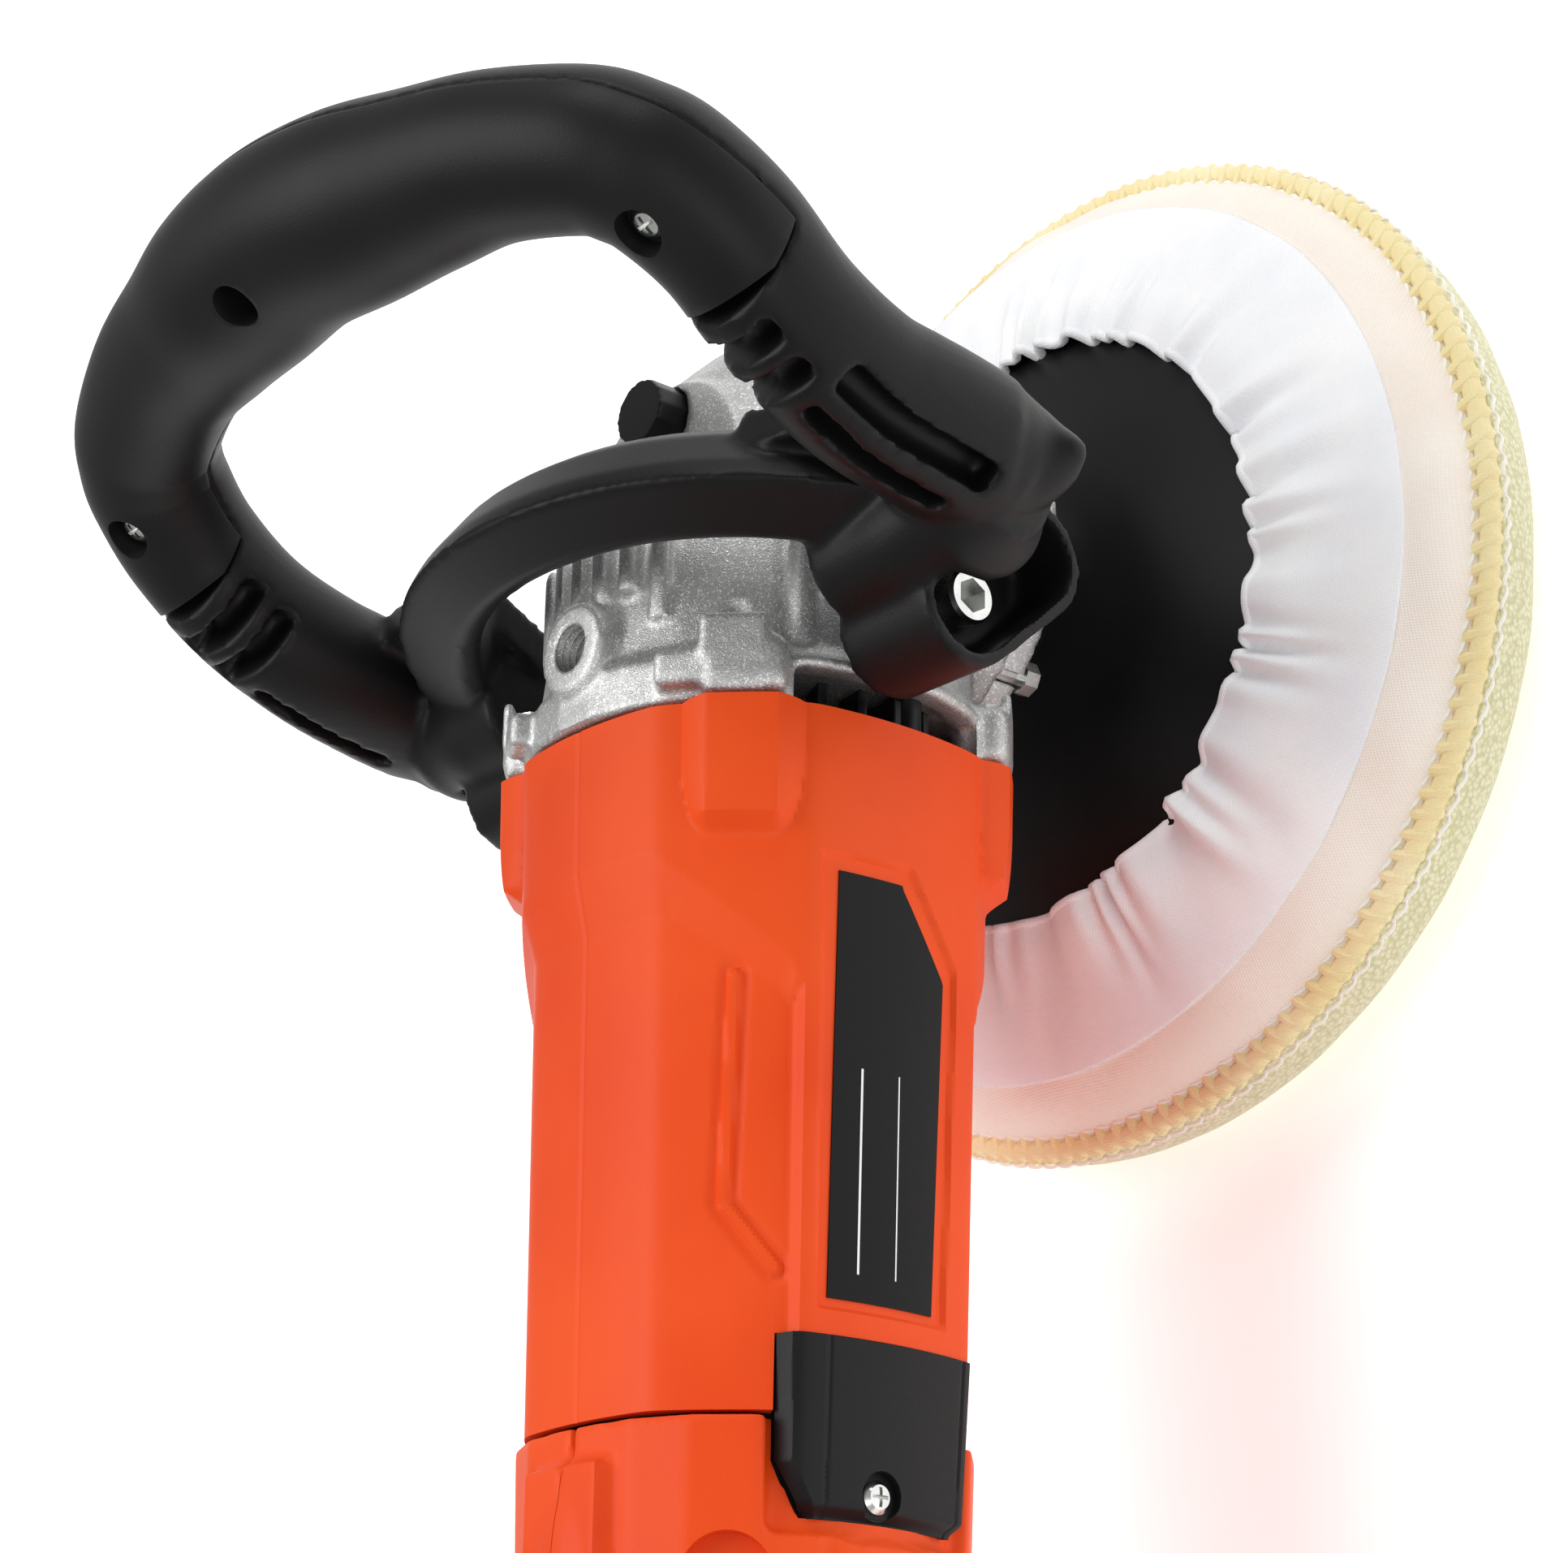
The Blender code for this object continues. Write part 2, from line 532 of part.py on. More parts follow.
# ---- motor ----
def make_motor():
    """Armature with its shaft, the field core, bearings, fan and brushes."""
    along = (1, 0, 0)
    shaft = turned("armature_shaft", [
        (0.0, -0.1935), (0.0040, -0.1935), (0.0040, -0.1855), (SHAFT_RADIUS, -0.1855), (SHAFT_RADIUS, -0.0360),
        (SHAFT_NOSE_RADIUS, -0.0360), (SHAFT_NOSE_RADIUS, -0.0185), (0.0, -0.0185),
    ], along, AXIS, STEEL, ROUND)
    hole = SHAFT_RADIUS + GAP
    tube("armature_core", CORE_RADIUS, hole, STATOR_BACK_X + 0.002, STATOR_FRONT_X - 0.002, along, AXIS, LAMINATION)
    turned("armature_winding", [
        (hole, -0.1600), (0.0110, -0.1600), (0.0165, -0.1540), (0.0165, STATOR_BACK_X + 0.0017),
        (hole, STATOR_BACK_X + 0.0017),
    ], along, AXIS, COPPER, ROUND)
    tube("commutator", COMMUTATOR_RADIUS, hole, -0.1800, -0.1610, along, AXIS, COPPER, ROUND)
    tube("field_core", HOUSING_BORE - GAP, STATOR_BORE, STATOR_BACK_X, STATOR_FRONT_X, along, AXIS, LAMINATION, WIDE)
    tube("front_motor_bearing", 0.0130, hole, -0.0488, -0.0408, along, AXIS, STEEL)
    tube("rear_motor_bearing", 0.0110, 0.0040 + GAP, -0.1930, -0.1860, along, AXIS, STEEL)
    turned("cooling_fan", [
        (hole, -0.0720), (0.0100, -0.0720), (FAN_RADIUS, -0.0700), (FAN_RADIUS, -0.0580), (0.0120, -0.0640),
        (hole, -0.0640),
    ], along, AXIS, BLACK, ROUND)
    tube("air_baffle", FRONT_BORE - 0.0005, 0.0210, -0.0545, -0.0525, along, AXIS, BLACK, WIDE)
    pinion = bevel_gear("pinion_gear", PINION_TEETH, PITCH_PINION, Vector((-1, 0, 0)), Vector((0, 0, -1)),
                        0.0, 0.0345, 0.0062, -0.0004)
    cut(pinion, tube("pinion_hole", SHAFT_NOSE_RADIUS + GAP, 0.0, -0.05, 0.0, along, AXIS, None, SMALL))
    bracket = turned("brush_bracket", [
        (0.0113, -0.1855), (0.0113, -0.1933), (0.0150, -0.1933), (0.0150, -0.1875), (BRACKET_RADIUS, -0.1875),
        (BRACKET_RADIUS, -0.1520), (BRACKET_RADIUS - 0.0025, -0.1520), (BRACKET_RADIUS - 0.0025, -0.1855),
    ], along, AXIS, BLACK, WIDE)
    for side, word in ((-1, "right"), (1, "left")):
        centre = (BRUSH_X, 0, AXIS_Z)
        cut(bracket, box(f"bracket_window_{word}", (BRUSH_X - 0.0068, min(side * 0.02, side * 0.05), AXIS_Z - 0.0093),
                         (BRUSH_X + 0.0068, max(side * 0.02, side * 0.05), AXIS_Z + 0.0093), None))
        reach = sorted((side * 0.0145, side * (BRACKET_RADIUS - 0.0012)))
        holder = box(f"brush_holder_{word}", (BRUSH_X - 0.0065, reach[0], AXIS_Z - 0.009),
                     (BRUSH_X + 0.0065, reach[1], AXIS_Z + 0.009), BRASS)
        inner = sorted((side * 0.0100, side * 0.0310))
        cut(holder, box(f"brush_channel_{word}", (BRUSH_X - 0.0038, inner[0], AXIS_Z - 0.0068),
                        (BRUSH_X + 0.0038, inner[1], AXIS_Z + 0.0068), None))
        length = sorted((side * (COMMUTATOR_RADIUS + GAP), side * 0.0270))
        box(f"carbon_brush_{word}", (centre[0] - 0.0035, length[0], AXIS_Z - 0.0065),
            (centre[0] + 0.0035, length[1], AXIS_Z + 0.0065), CARBON)
    return shaft


# ---- rear handle ----
def handle_stations():
    """Rear handle sections: place, half width, top and bottom over the axis, and wall."""
    root = HANDLE_ROOT_RADIUS
    return [
        (HOUSING_BACK_X - GAP, root, root, -root),
        (-0.2140, root - 0.0015, root - 0.0010, -root + 0.0010),
        (-0.2290, 0.0260, 0.0270, -0.0320),
        (TRIGGER_FRONT_X + 0.001, GRIP_HALF_WIDTH + 0.002, 0.0205, GRIP_BOTTOM_Z - 0.001),
        (-0.2600, GRIP_HALF_WIDTH, GRIP_TOP_Z + 0.001, GRIP_BOTTOM_Z),
        (-0.3120, GRIP_HALF_WIDTH, GRIP_TOP_Z, GRIP_BOTTOM_Z),
        (-0.3340, GRIP_HALF_WIDTH + 0.0035, GRIP_TOP_Z + 0.0015, GRIP_BOTTOM_Z - 0.0070),
        (HANDLE_BACK_X + 0.004, GRIP_HALF_WIDTH + 0.0030, GRIP_TOP_Z + 0.0015, GRIP_BOTTOM_Z - 0.0060),
        (HANDLE_BACK_X, GRIP_HALF_WIDTH - 0.0010, GRIP_TOP_Z - 0.0030, GRIP_BOTTOM_Z - 0.0020),
    ]


def half_arc(x, side, width, top, bottom, steps=10, power=2.35):
    """Half of a rounded section, from its bottom to its top, on one side of the middle plane."""
    middle = (top + bottom) / 2
    half = (top - bottom) / 2
    points = []
    for step in range(steps + 1):
        angle = -pi / 2 + pi * step / steps
        wide = max(cos(angle), 0.0) ** (2.0 / power)
        tall = abs(sin(angle)) ** (2.0 / power) * (1 if angle > 0 else -1)
        y = side * max(width * wide, GAP / 2)
        points.append(Vector((x, y, AXIS_Z + middle + half * tall)))
    return points


def handle_width(x):
    """Half width of the rear handle at a place along it."""
    stations = handle_stations()
    for (near, wide, _, _), (far, narrow, _, _) in zip(stations, stations[1:]):
        if far <= x <= near:
            return wide + (narrow - wide) * (near - x) / (near - far)
    return stations[-1][1]


def make_handle_half(name, side):
    """One half of the rear handle: a shell of even wall, closed at the back."""
    stations = handle_stations()
    sections = []
    for number, (x, width, top, bottom) in enumerate(stations):
        outer = half_arc(x, side, width, top, bottom)
        wall = HANDLE_WALL
        inner = half_arc(x, side, width - wall, top - wall, bottom + wall)
        if number == 0:
            inner = half_arc(x, side, HOUSING_BORE + GAP, HOUSING_BORE + GAP, -HOUSING_BORE - GAP, power=2.0)
        if number >= len(stations) - 1:
            inner = half_arc(x, side, 0.0082, -0.0072 + 0.0082, -0.0072 - 0.0082, power=2.0)
        if number == len(stations) - 2:
            full = outer + inner[::-1]
            small = half_arc(x, side, 0.0082, -0.0072 + 0.0082, -0.0072 - 0.0082, power=2.0)
            sections.append(full)
            sections.append(outer + small[::-1])
            continue
        sections.append(outer + inner[::-1])
    return lofted(name, sections, ORANGE)


def make_rear_handle():
    """Both halves with their openings, and what they hold."""
    right = make_handle_half("rear_handle_right", -1)
    left = make_handle_half("rear_handle_left", 1)
    trigger_slot = box("trigger_slot", (TRIGGER_BACK_X - 4 * GAP, -TRIGGER_HALF_WIDTH - GAP, AXIS_Z - 0.050),
                       (TRIGGER_FRONT_X + 2 * GAP, TRIGGER_HALF_WIDTH + GAP, AXIS_Z - 0.010), None)
    dial_slot = box("dial_slot", (DIAL_X - DIAL_RADIUS - 0.001, -DIAL_HALF_WIDTH - GAP, AXIS_Z + 0.012),
                    (DIAL_X + DIAL_RADIUS + 0.001, DIAL_HALF_WIDTH + GAP, AXIS_Z + 0.060), None)
    for half, side, word in ((right, -1, "right"), (left, 1, "left")):
        ridge = box(f"dial_ridge_{word}", (-0.2220, min(side * GAP / 2, side * 0.0095), AXIS_Z + 0.0345),
                    (-0.1790, max(side * GAP / 2, side * 0.0095), AXIS_Z + 0.0395), None)
        join(half, ridge)
        cut(half, trigger_slot)
        cut(half, dial_slot)
        for vent in range(5):
            z = AXIS_Z - 0.0100 + 0.0050 * vent
            span = sorted((side * 0.028, side * 0.050))
            cut(half, box(f"vent_{word}_{vent}", (-0.2120, span[0], z - 0.0014), (-0.1945, span[1], z + 0.0014), None))
    cut(left, tube("lock_on_hole", 0.0053, 0.0, 0.0120, 0.0300, (0, 1, 0), (-0.2500, 0, AXIS_Z - 0.002), None, SMALL))
    for number, (x, z) in enumerate(((-0.2300, 0.0085), (-0.3150, 0.0080), (-0.3370, 0.0080), (-0.2300, -0.0180))):
        place = (x, 0, AXIS_Z + z)
        reach = handle_width(x) - 0.0035
        join(right, tube(f"screw_post_right_{number}", 0.0042, 0.0, -reach, -GAP / 2, (0, 1, 0), place, None, TINY))
        join(left, tube(f"screw_post_left_{number}", 0.0042, 0.0, GAP / 2, reach, (0, 1, 0), place, None, TINY))
        cut(right, tube(f"screw_clearance_{number}", 0.0019, 0.0, -0.0300, 0.0010, (0, 1, 0), place, None, TINY))
        cut(right, tube(f"screw_counterbore_{number}", 0.0036, 0.0, -0.0300, -0.0100, (0, 1, 0), place, None, TINY))
        cut(left, tube(f"screw_core_{number}", 0.0016, 0.0, -0.0010, 0.0120, (0, 1, 0), place, None, TINY))
        turned(f"handle_screw_{number + 1}", [
            (0.0, -0.0125), (0.0032, -0.0125), (0.0032, -0.0103), (0.0013, -0.0103), (0.0013, 0.0110), (0.0, 0.0110),
        ], (0, 1, 0), place, ZINC, TINY)
    return right, left


def make_controls():
    """Trigger, lock-on button, speed dial, the switch, the speed module and the cable inlet."""
    half = TRIGGER_HALF_WIDTH
    outline = [
        (TRIGGER_FRONT_X, -0.0160), (TRIGGER_FRONT_X, -0.0280), (TRIGGER_FRONT_X - 0.010, GRIP_BOTTOM_Z - TRIGGER_DROP),
        (-0.2700, GRIP_BOTTOM_Z - TRIGGER_DROP + 0.0015), (TRIGGER_BACK_X + 0.008, GRIP_BOTTOM_Z - TRIGGER_DROP),
        (TRIGGER_BACK_X, -0.0290), (TRIGGER_BACK_X, -0.0215), (-0.2600, -0.0160),
    ]
    sections = [[Vector((x, y, AXIS_Z + z)) for x, z in outline] for y in (-half, half)]
    trigger = lofted("trigger", sections, BLACK)
    set_origin(trigger, (TRIGGER_FRONT_X - 0.004, 0, AXIS_Z - 0.019))
    button = turned("lock_on_button", [
        (0.0, 0.0100), (0.0050, 0.0100), (0.0050, GRIP_HALF_WIDTH + 0.0040), (0.0, GRIP_HALF_WIDTH + 0.0040),
    ], (0, 1, 0), (-0.2500, 0, AXIS_Z - 0.002), BLACK, SMALL)
    set_origin(button, (-0.2500, 0.0150, AXIS_Z - 0.002))
    dial = turned("speed_dial", [
        (0.0020, -DIAL_HALF_WIDTH), (DIAL_RADIUS - 0.001, -DIAL_HALF_WIDTH), (DIAL_RADIUS, -DIAL_HALF_WIDTH + 0.001),
        (DIAL_RADIUS, DIAL_HALF_WIDTH - 0.001), (DIAL_RADIUS - 0.001, DIAL_HALF_WIDTH), (0.0020, DIAL_HALF_WIDTH),
    ], (0, 1, 0), (DIAL_X, 0, AXIS_Z + DIAL_Z), BLACK, ROUND)
    set_origin(dial, (DIAL_X, 0, AXIS_Z + DIAL_Z))
    box("switch_body", (-0.3000, -0.0080, AXIS_Z - 0.0100), (-0.2600, 0.0080, AXIS_Z + 0.0120), BLACK)
    box("speed_module", (-0.2180, -0.0160, AXIS_Z - 0.0240), (-0.1980, 0.0160, AXIS_Z + 0.0100), BLACK)
    turned("cable_gland", [
        (0.0040, HANDLE_BACK_X - 0.0140), (0.0068, HANDLE_BACK_X - 0.0140), (0.0078, HANDLE_BACK_X + 0.006),
        (0.0120, HANDLE_BACK_X + 0.0064), (0.0120, HANDLE_BACK_X + 0.0100), (0.0040, HANDLE_BACK_X + 0.0100),
    ], (1, 0, 0), (0, 0, AXIS_Z - 0.0072), RUBBER, SMALL)


# ---- brush covers and label ----
def shell_patch(name, inner, outer, half_angle, centre_angle, back_x, front_x, surface, steps=8):
    """A curved plate round the motor's axis."""
    sections = []
    for step in range(steps + 1):
        angle = centre_angle - half_angle + 2 * half_angle * step / steps
        sections.append([
            on_axis(back_x, angle, inner), on_axis(front_x, angle, inner),
            on_axis(front_x, angle, outer), on_axis(back_x, angle, outer),
        ])
    return lofted(name, sections, surface)


def make_covers(housing, right, left):
    """Brush covers set into housing and handle, with a screw each, and the rating label."""
    outer = 0.0383
    inner = outer - COVER_THICK
    for side, word, handle in ((1, "right", right), (-1, "left", left)):
        angle = 90 if side == 1 else 270
        sink = shell_patch(f"cover_recess_{word}", inner - GAP, outer + 0.010, COVER_HALF_ANGLE + 0.5, angle,
                           COVER_BACK_X - GAP, COVER_FRONT_X + GAP, None)
        cut(housing, sink)
        cut(handle, sink)
        cover = shell_patch(f"brush_cover_{word}", inner, outer, COVER_HALF_ANGLE, angle, COVER_BACK_X, COVER_FRONT_X, BLACK)
        place = (-0.1860, 0, AXIS_Z + 0.0060)
        axis = (0, -side, 0)
        cut(cover, tube(f"cover_screw_sink_{word}", 0.0034, 0.0, 0.0366, 0.0500, axis, place, None, TINY))
        cut(cover, tube(f"cover_screw_clear_{word}", 0.0019, 0.0, 0.0300, 0.0500, axis, place, None, TINY))
        cut(handle, tube(f"cover_screw_core_{word}", 0.0018, 0.0, 0.0300, 0.0400, axis, place, None, TINY))
        turned(f"brush_cover_screw_{word}", [
            (0.0, 0.0347), (0.0015, 0.0347), (0.0015, 0.0369), (0.0030, 0.0369), (0.0030, 0.0382), (0.0, 0.0382),
        ], axis, place, ZINC, TINY)
    sections = []
    for step in range(9):
        angle = 74.0 + 4.0 * step
        back = body_radius(angle, side_reach(LABEL_BACK_X)) + GAP
        front = body_radius(angle, side_reach(LABEL_FRONT_X)) + GAP
        sections.append([
            on_axis(LABEL_BACK_X, angle, back), on_axis(LABEL_FRONT_X, angle, front),
            on_axis(LABEL_FRONT_X, angle, front + LABEL_THICK), on_axis(LABEL_BACK_X, angle, back + LABEL_THICK),
        ])
    lofted("rating_label", sections, GLOSS)


# ---- loop handle ----
LEAN = radians(LOOP_LEAN)
LOOP_UP = Vector((sin(LEAN), 0, cos(LEAN)))
LOOP_OUT = Vector((cos(LEAN), 0, -sin(LEAN)))
GRIP_OUT = (LOOP_OUT - LOOP_UP * GRIP_PART_SLOPE).normalized()
SCREW_Y = 0.0772
SCREW_UP = 0.0885


LOOP_KNOTS = (
    (0.0, 0.1136, 0.0172, 1.0), (0.0180, 0.1121, 0.0166, 1.0), (0.0340, 0.1094, 0.0162, 0.91),
    (0.0507, 0.1062, 0.0153, 0.83), (0.0674, 0.0997, 0.0130, 0.80), (0.0740, 0.0945, 0.0110, 0.79),
    (0.0778, 0.0889, 0.0088, 0.79), (0.0811, 0.0777, 0.0038, 0.77), (0.0808, 0.0620, -0.0025, 0.77),
    (0.0798, 0.0439, -0.0050, 0.80), (0.0802, 0.0245, -0.0035, 0.80), (0.0806, 0.0120, -0.0028, 0.77),
)   # the loop's half centre line: across, up, forward of its leaning plane, and share of the grip's radius


def loop_point(y, up, out=0.0):
    """A point by its place in the loop's leaning plane and forward of it."""
    return AXIS + Vector((LOOP_FOOT_X, y, 0)) + LOOP_UP * up + LOOP_OUT * out


def grip_lean(up):
    """How far forward the parting face of the grip is at a height."""
    return GRIP_PART_OUT + GRIP_PART_SLOPE * (up - LOOP_SEAM)


def loop_tube(name, radius, surface, sides, keep):
    """Skin round the loop's centre line, which is thinner towards the feet."""
    path = [(-y, up, out, share) for y, up, out, share in LOOP_KNOTS[:0:-1]] + list(LOOP_KNOTS)
    path = [knot for knot in path if knot[1] > keep]
    places = [loop_point(y, up, out) for y, up, out, share in path]
    sections = []
    for number, place in enumerate(places):
        before = places[max(number - 1, 0)]
        after = places[min(number + 1, len(places) - 1)]
        tangent = (after - before).normalized()
        side = tangent.cross(LOOP_OUT).normalized()
        front = side.cross(tangent)
        reach = LOOP_GRIP_RADIUS * path[number][3] - (LOOP_GRIP_RADIUS - radius)
        sections.append(oval(place, side, front, reach, reach, sides))
    return lofted(name, sections, surface)


def arch(name, surface):
    """The bow over the gear case, a band whose outside slopes down to the front."""
    sections = []
    for step in range(13):
        angle = -72 + 12 * step
        spread = 1.0 + 0.12 * (abs(angle) / 64.0) ** 2
        profile = [(-0.0240, 0.0550), (-0.0190, 0.0640), (-0.0080, 0.0590), (-0.0030, 0.0520), (-0.0060, 0.0480),
                   (-0.0180, 0.0500)]
        sections.append([on_axis(x, angle, radius * spread) for x, radius in profile])
    return lofted(name, sections, surface)


def make_loop_handle():
    """Frame with arms, bow and bosses; the grip's rear cover; screws and bolts."""
    frame = loop_tube("loop_handle", LOOP_GRIP_RADIUS, BLACK, 14, 0.0)
    cover = loop_tube("grip_cover", LOOP_GRIP_RADIUS, BLACK, 14, 0.0)
    span = 0.130

    def rear_block(name, shift, low):
        corners = []
        for y in (-span, span):
            base = AXIS + Vector((LOOP_FOOT_X, y, 0))
            corners.append([
                base + LOOP_UP * low - LOOP_OUT * 0.060, base + LOOP_UP * low + LOOP_OUT * (grip_lean(low) + shift),
                base + LOOP_UP * 0.160 + LOOP_OUT * (grip_lean(0.160) + shift),
                base + LOOP_UP * 0.160 - LOOP_OUT * 0.060,
            ])
        return lofted(name, corners, None)

    cut(frame, rear_block("cover_room", GAP / 2, LOOP_SEAM - GAP))
    boolean(cover, rear_block("cover_limits", -GAP / 2, LOOP_SEAM), "INTERSECT")
    hollow = loop_tube("loop_hollow", LOOP_GRIP_RADIUS - LOOP_WALL, None, 10, 0.065)
    cut(frame, hollow)
    cut(cover, hollow)
    join(frame, arch("bow", None))
    for side in (-1, 1):
        across = Vector((1, 0, 0))
        up = Vector((0, 0, 1))
        foot = lofted(f"arm_foot_{side}", [
            oval(Vector((-0.026, side * 0.050, AXIS_Z + 0.014)), across, up, 0.012, 0.016, 12),
            oval(Vector((-0.024, side * 0.070, AXIS_Z + 0.014)), across, up, 0.012, 0.014, 12),
            oval(Vector((-0.019, side * 0.086, AXIS_Z + 0.016)), across, up, 0.013, 0.012, 12),
            oval(Vector((-0.018, side * 0.0975, AXIS_Z + 0.013)), across, up, 0.004, 0.004, 12),
        ], None)
        join(frame, foot)
        slant = Vector((0.48, 0, -0.88)).normalized()
        width = Vector((0.88, 0, 0.48)).normalized()
        centre = Vector((LOOP_BOLT_X - 0.001, 0, AXIS_Z + 0.002))
        rings = []
        for reach in (BOSS_INNER_Y, BOSS_OUTER_Y):
            ring = []
            for step in range(20):
                angle = 2 * pi * step / 20
                shift = 0.0075 if sin(angle) >= 0 else -0.0075
                ring.append(centre + Vector((0, side * reach, 0)) + width * (0.0112 * cos(angle))
                            + slant * (0.0112 * sin(angle) + shift))
            rings.append(ring)
        join(frame, lofted(f"bolt_tube_{side}", rings, None))
        axis = (0, side, 0)
        seat = (LOOP_BOLT_X, 0, AXIS_Z)
        pocket = []
        for reach in (BOSS_INNER_Y + 0.0065, BOSS_OUTER_Y + 0.012):
            ring = []
            for step in range(16):
                angle = 2 * pi * step / 16
                shift = 0.0075 if sin(angle) >= 0 else -0.0075
                ring.append(centre + Vector((0, side * reach, 0)) + width * (0.0088 * cos(angle))
                            + slant * (0.0088 * sin(angle) + shift))
            pocket.append(ring)
        cut(frame, lofted(f"bolt_pocket_{side}", pocket, None))
        cut(frame, tube(f"bolt_clear_{side}", 0.0033, 0.0, 0.0400, 0.0600, axis, seat, None, TINY))
        word = "right" if side < 0 else "left"
        turned(f"loop_bolt_{word}", [
            (0.0, 0.0370), (0.0029, 0.0370), (0.0029, BOSS_INNER_Y + 0.0068), (0.0050, BOSS_INNER_Y + 0.0068),
            (0.0050, BOSS_INNER_Y + 0.0128), (0.0, BOSS_INNER_Y + 0.0128),
        ], axis, seat, ZINC, SMALL)
        for slot, height in enumerate((0.066, 0.0585)):
            base = loop_point(side * 0.0810, height)
            low = base - LOOP_OUT * 0.030
            ring = []
            for corner in ((-0.0095, -0.0018), (0.0095, -0.0018), (0.0095, 0.0018), (-0.0095, 0.0018)):
                ring.append(low + Vector((0, corner[0], 0)) + LOOP_UP * corner[1])
            deep = [point + LOOP_OUT * 0.0215 for point in ring]
            cut(frame, lofted(f"arm_slot_{side}_{slot}", [ring, deep], None))
    seats = ((-SCREW_Y, SCREW_UP, 0.79), (0.0, 0.1140, 1.0), (SCREW_Y, SCREW_UP, 0.79))
    for number, (y, up, share) in enumerate(seats):
        place = loop_point(y, up, grip_lean(up))
        reach = LOOP_GRIP_RADIUS * share - LOOP_WALL / 2
        post = tube(f"cover_post_{number}", 0.0045, 0.0, -reach, -GAP / 2, GRIP_OUT, place, None, TINY)
        anchor = tube(f"frame_post_{number}", 0.0045, 0.0, GAP / 2, reach, GRIP_OUT, place, None, TINY)
        join(cover, post)
        join(frame, anchor)
        cut(cover, tube(f"grip_screw_clear_{number}", 0.0019, 0.0, -0.0300, 0.0010, GRIP_OUT, place, None, TINY))
        cut(cover, tube(f"grip_screw_sink_{number}", 0.0036, 0.0, -0.0300, -0.0090, GRIP_OUT, place, None, TINY))
        cut(frame, tube(f"grip_screw_core_{number}", 0.0016, 0.0, -0.0010, 0.0110, GRIP_OUT, place, None, TINY))
        turned(f"grip_screw_{number + 1}", [
            (0.0, -0.0112), (0.0029, -0.0112), (0.0029, -0.0093), (0.0013, -0.0093), (0.0013, 0.0100), (0.0, 0.0100),
        ], GRIP_OUT, place, ZINC, TINY)
    return frame


make_pad()
make_spindle_group()
make_gear_case()
motor_housing = make_motor_housing()
make_motor()
handle_right, handle_left = make_rear_handle()
make_controls()
make_covers(motor_housing, handle_right, handle_left)
make_loop_handle()
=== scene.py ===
"""Rotary polisher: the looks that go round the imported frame.

All sizes are in metres. Z is up, the spindle stands on Z, and the motor's axis runs along X.
"""

import json
from math import cos, pi, radians, sin, sqrt

import bmesh
import bpy
from mathutils import Matrix, Vector, noise

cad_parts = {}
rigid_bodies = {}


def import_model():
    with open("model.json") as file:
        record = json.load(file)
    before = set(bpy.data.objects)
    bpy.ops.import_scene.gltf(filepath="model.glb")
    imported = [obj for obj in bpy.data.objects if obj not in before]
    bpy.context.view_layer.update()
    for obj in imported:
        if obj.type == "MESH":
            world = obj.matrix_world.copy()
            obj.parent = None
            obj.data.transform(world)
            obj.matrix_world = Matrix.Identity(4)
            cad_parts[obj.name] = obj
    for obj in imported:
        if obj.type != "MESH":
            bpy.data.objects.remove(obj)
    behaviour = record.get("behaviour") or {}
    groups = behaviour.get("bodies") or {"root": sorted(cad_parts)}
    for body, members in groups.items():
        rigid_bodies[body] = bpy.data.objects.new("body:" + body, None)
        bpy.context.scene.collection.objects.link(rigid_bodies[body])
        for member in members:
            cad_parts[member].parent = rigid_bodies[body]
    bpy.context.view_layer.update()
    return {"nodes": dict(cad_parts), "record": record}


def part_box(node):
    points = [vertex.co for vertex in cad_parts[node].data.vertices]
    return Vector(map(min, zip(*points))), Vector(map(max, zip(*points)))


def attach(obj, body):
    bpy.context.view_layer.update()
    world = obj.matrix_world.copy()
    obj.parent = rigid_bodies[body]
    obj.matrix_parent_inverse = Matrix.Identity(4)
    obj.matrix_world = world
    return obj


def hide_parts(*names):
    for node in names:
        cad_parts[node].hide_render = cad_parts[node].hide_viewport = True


for leftover in list(bpy.data.objects):
    bpy.data.objects.remove(leftover)

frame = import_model()
NODES = frame["nodes"]

# ---- places read from the frame ----
AXIS_Z = sum(corner.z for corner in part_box("armature_shaft")) / 2
HOUSING_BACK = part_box("motor_housing")[0].x
HOUSING_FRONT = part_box("motor_housing")[1].x
HEM_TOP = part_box("bonnet")[1].z
PLATE_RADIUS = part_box("backing_plate")[1].x
PLATE_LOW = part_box("backing_plate")[0].z
PLATE_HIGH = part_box("backing_plate")[1].z
AXIS = Vector((0.0, 0.0, AXIS_Z))


# ---- small helpers ----
def ramp(value, start, end):
    """A smooth step from 0 at start to 1 at end."""
    share = min(max((value - start) / (end - start), 0.0), 1.0)
    return share * share * (3.0 - 2.0 * share)


def between(points, value):
    """A smooth line through (value, result) points."""
    if value <= points[0][0]:
        return points[0][1]
    for (low, first), (high, second) in zip(points, points[1:]):
        if value <= high:
            return first + (second - first) * ramp(value, low, high)
    return points[-1][1]


def on_axis(x, angle, radius):
    """A point round the motor's axis; angle is in degrees from the top towards -Y."""
    turn = radians(angle)
    return Vector((x, -radius * sin(turn), AXIS_Z + radius * cos(turn)))


def radial(angle):
    """The outward direction round the motor's axis."""
    turn = radians(angle)
    return Vector((0.0, -sin(turn), cos(turn)))


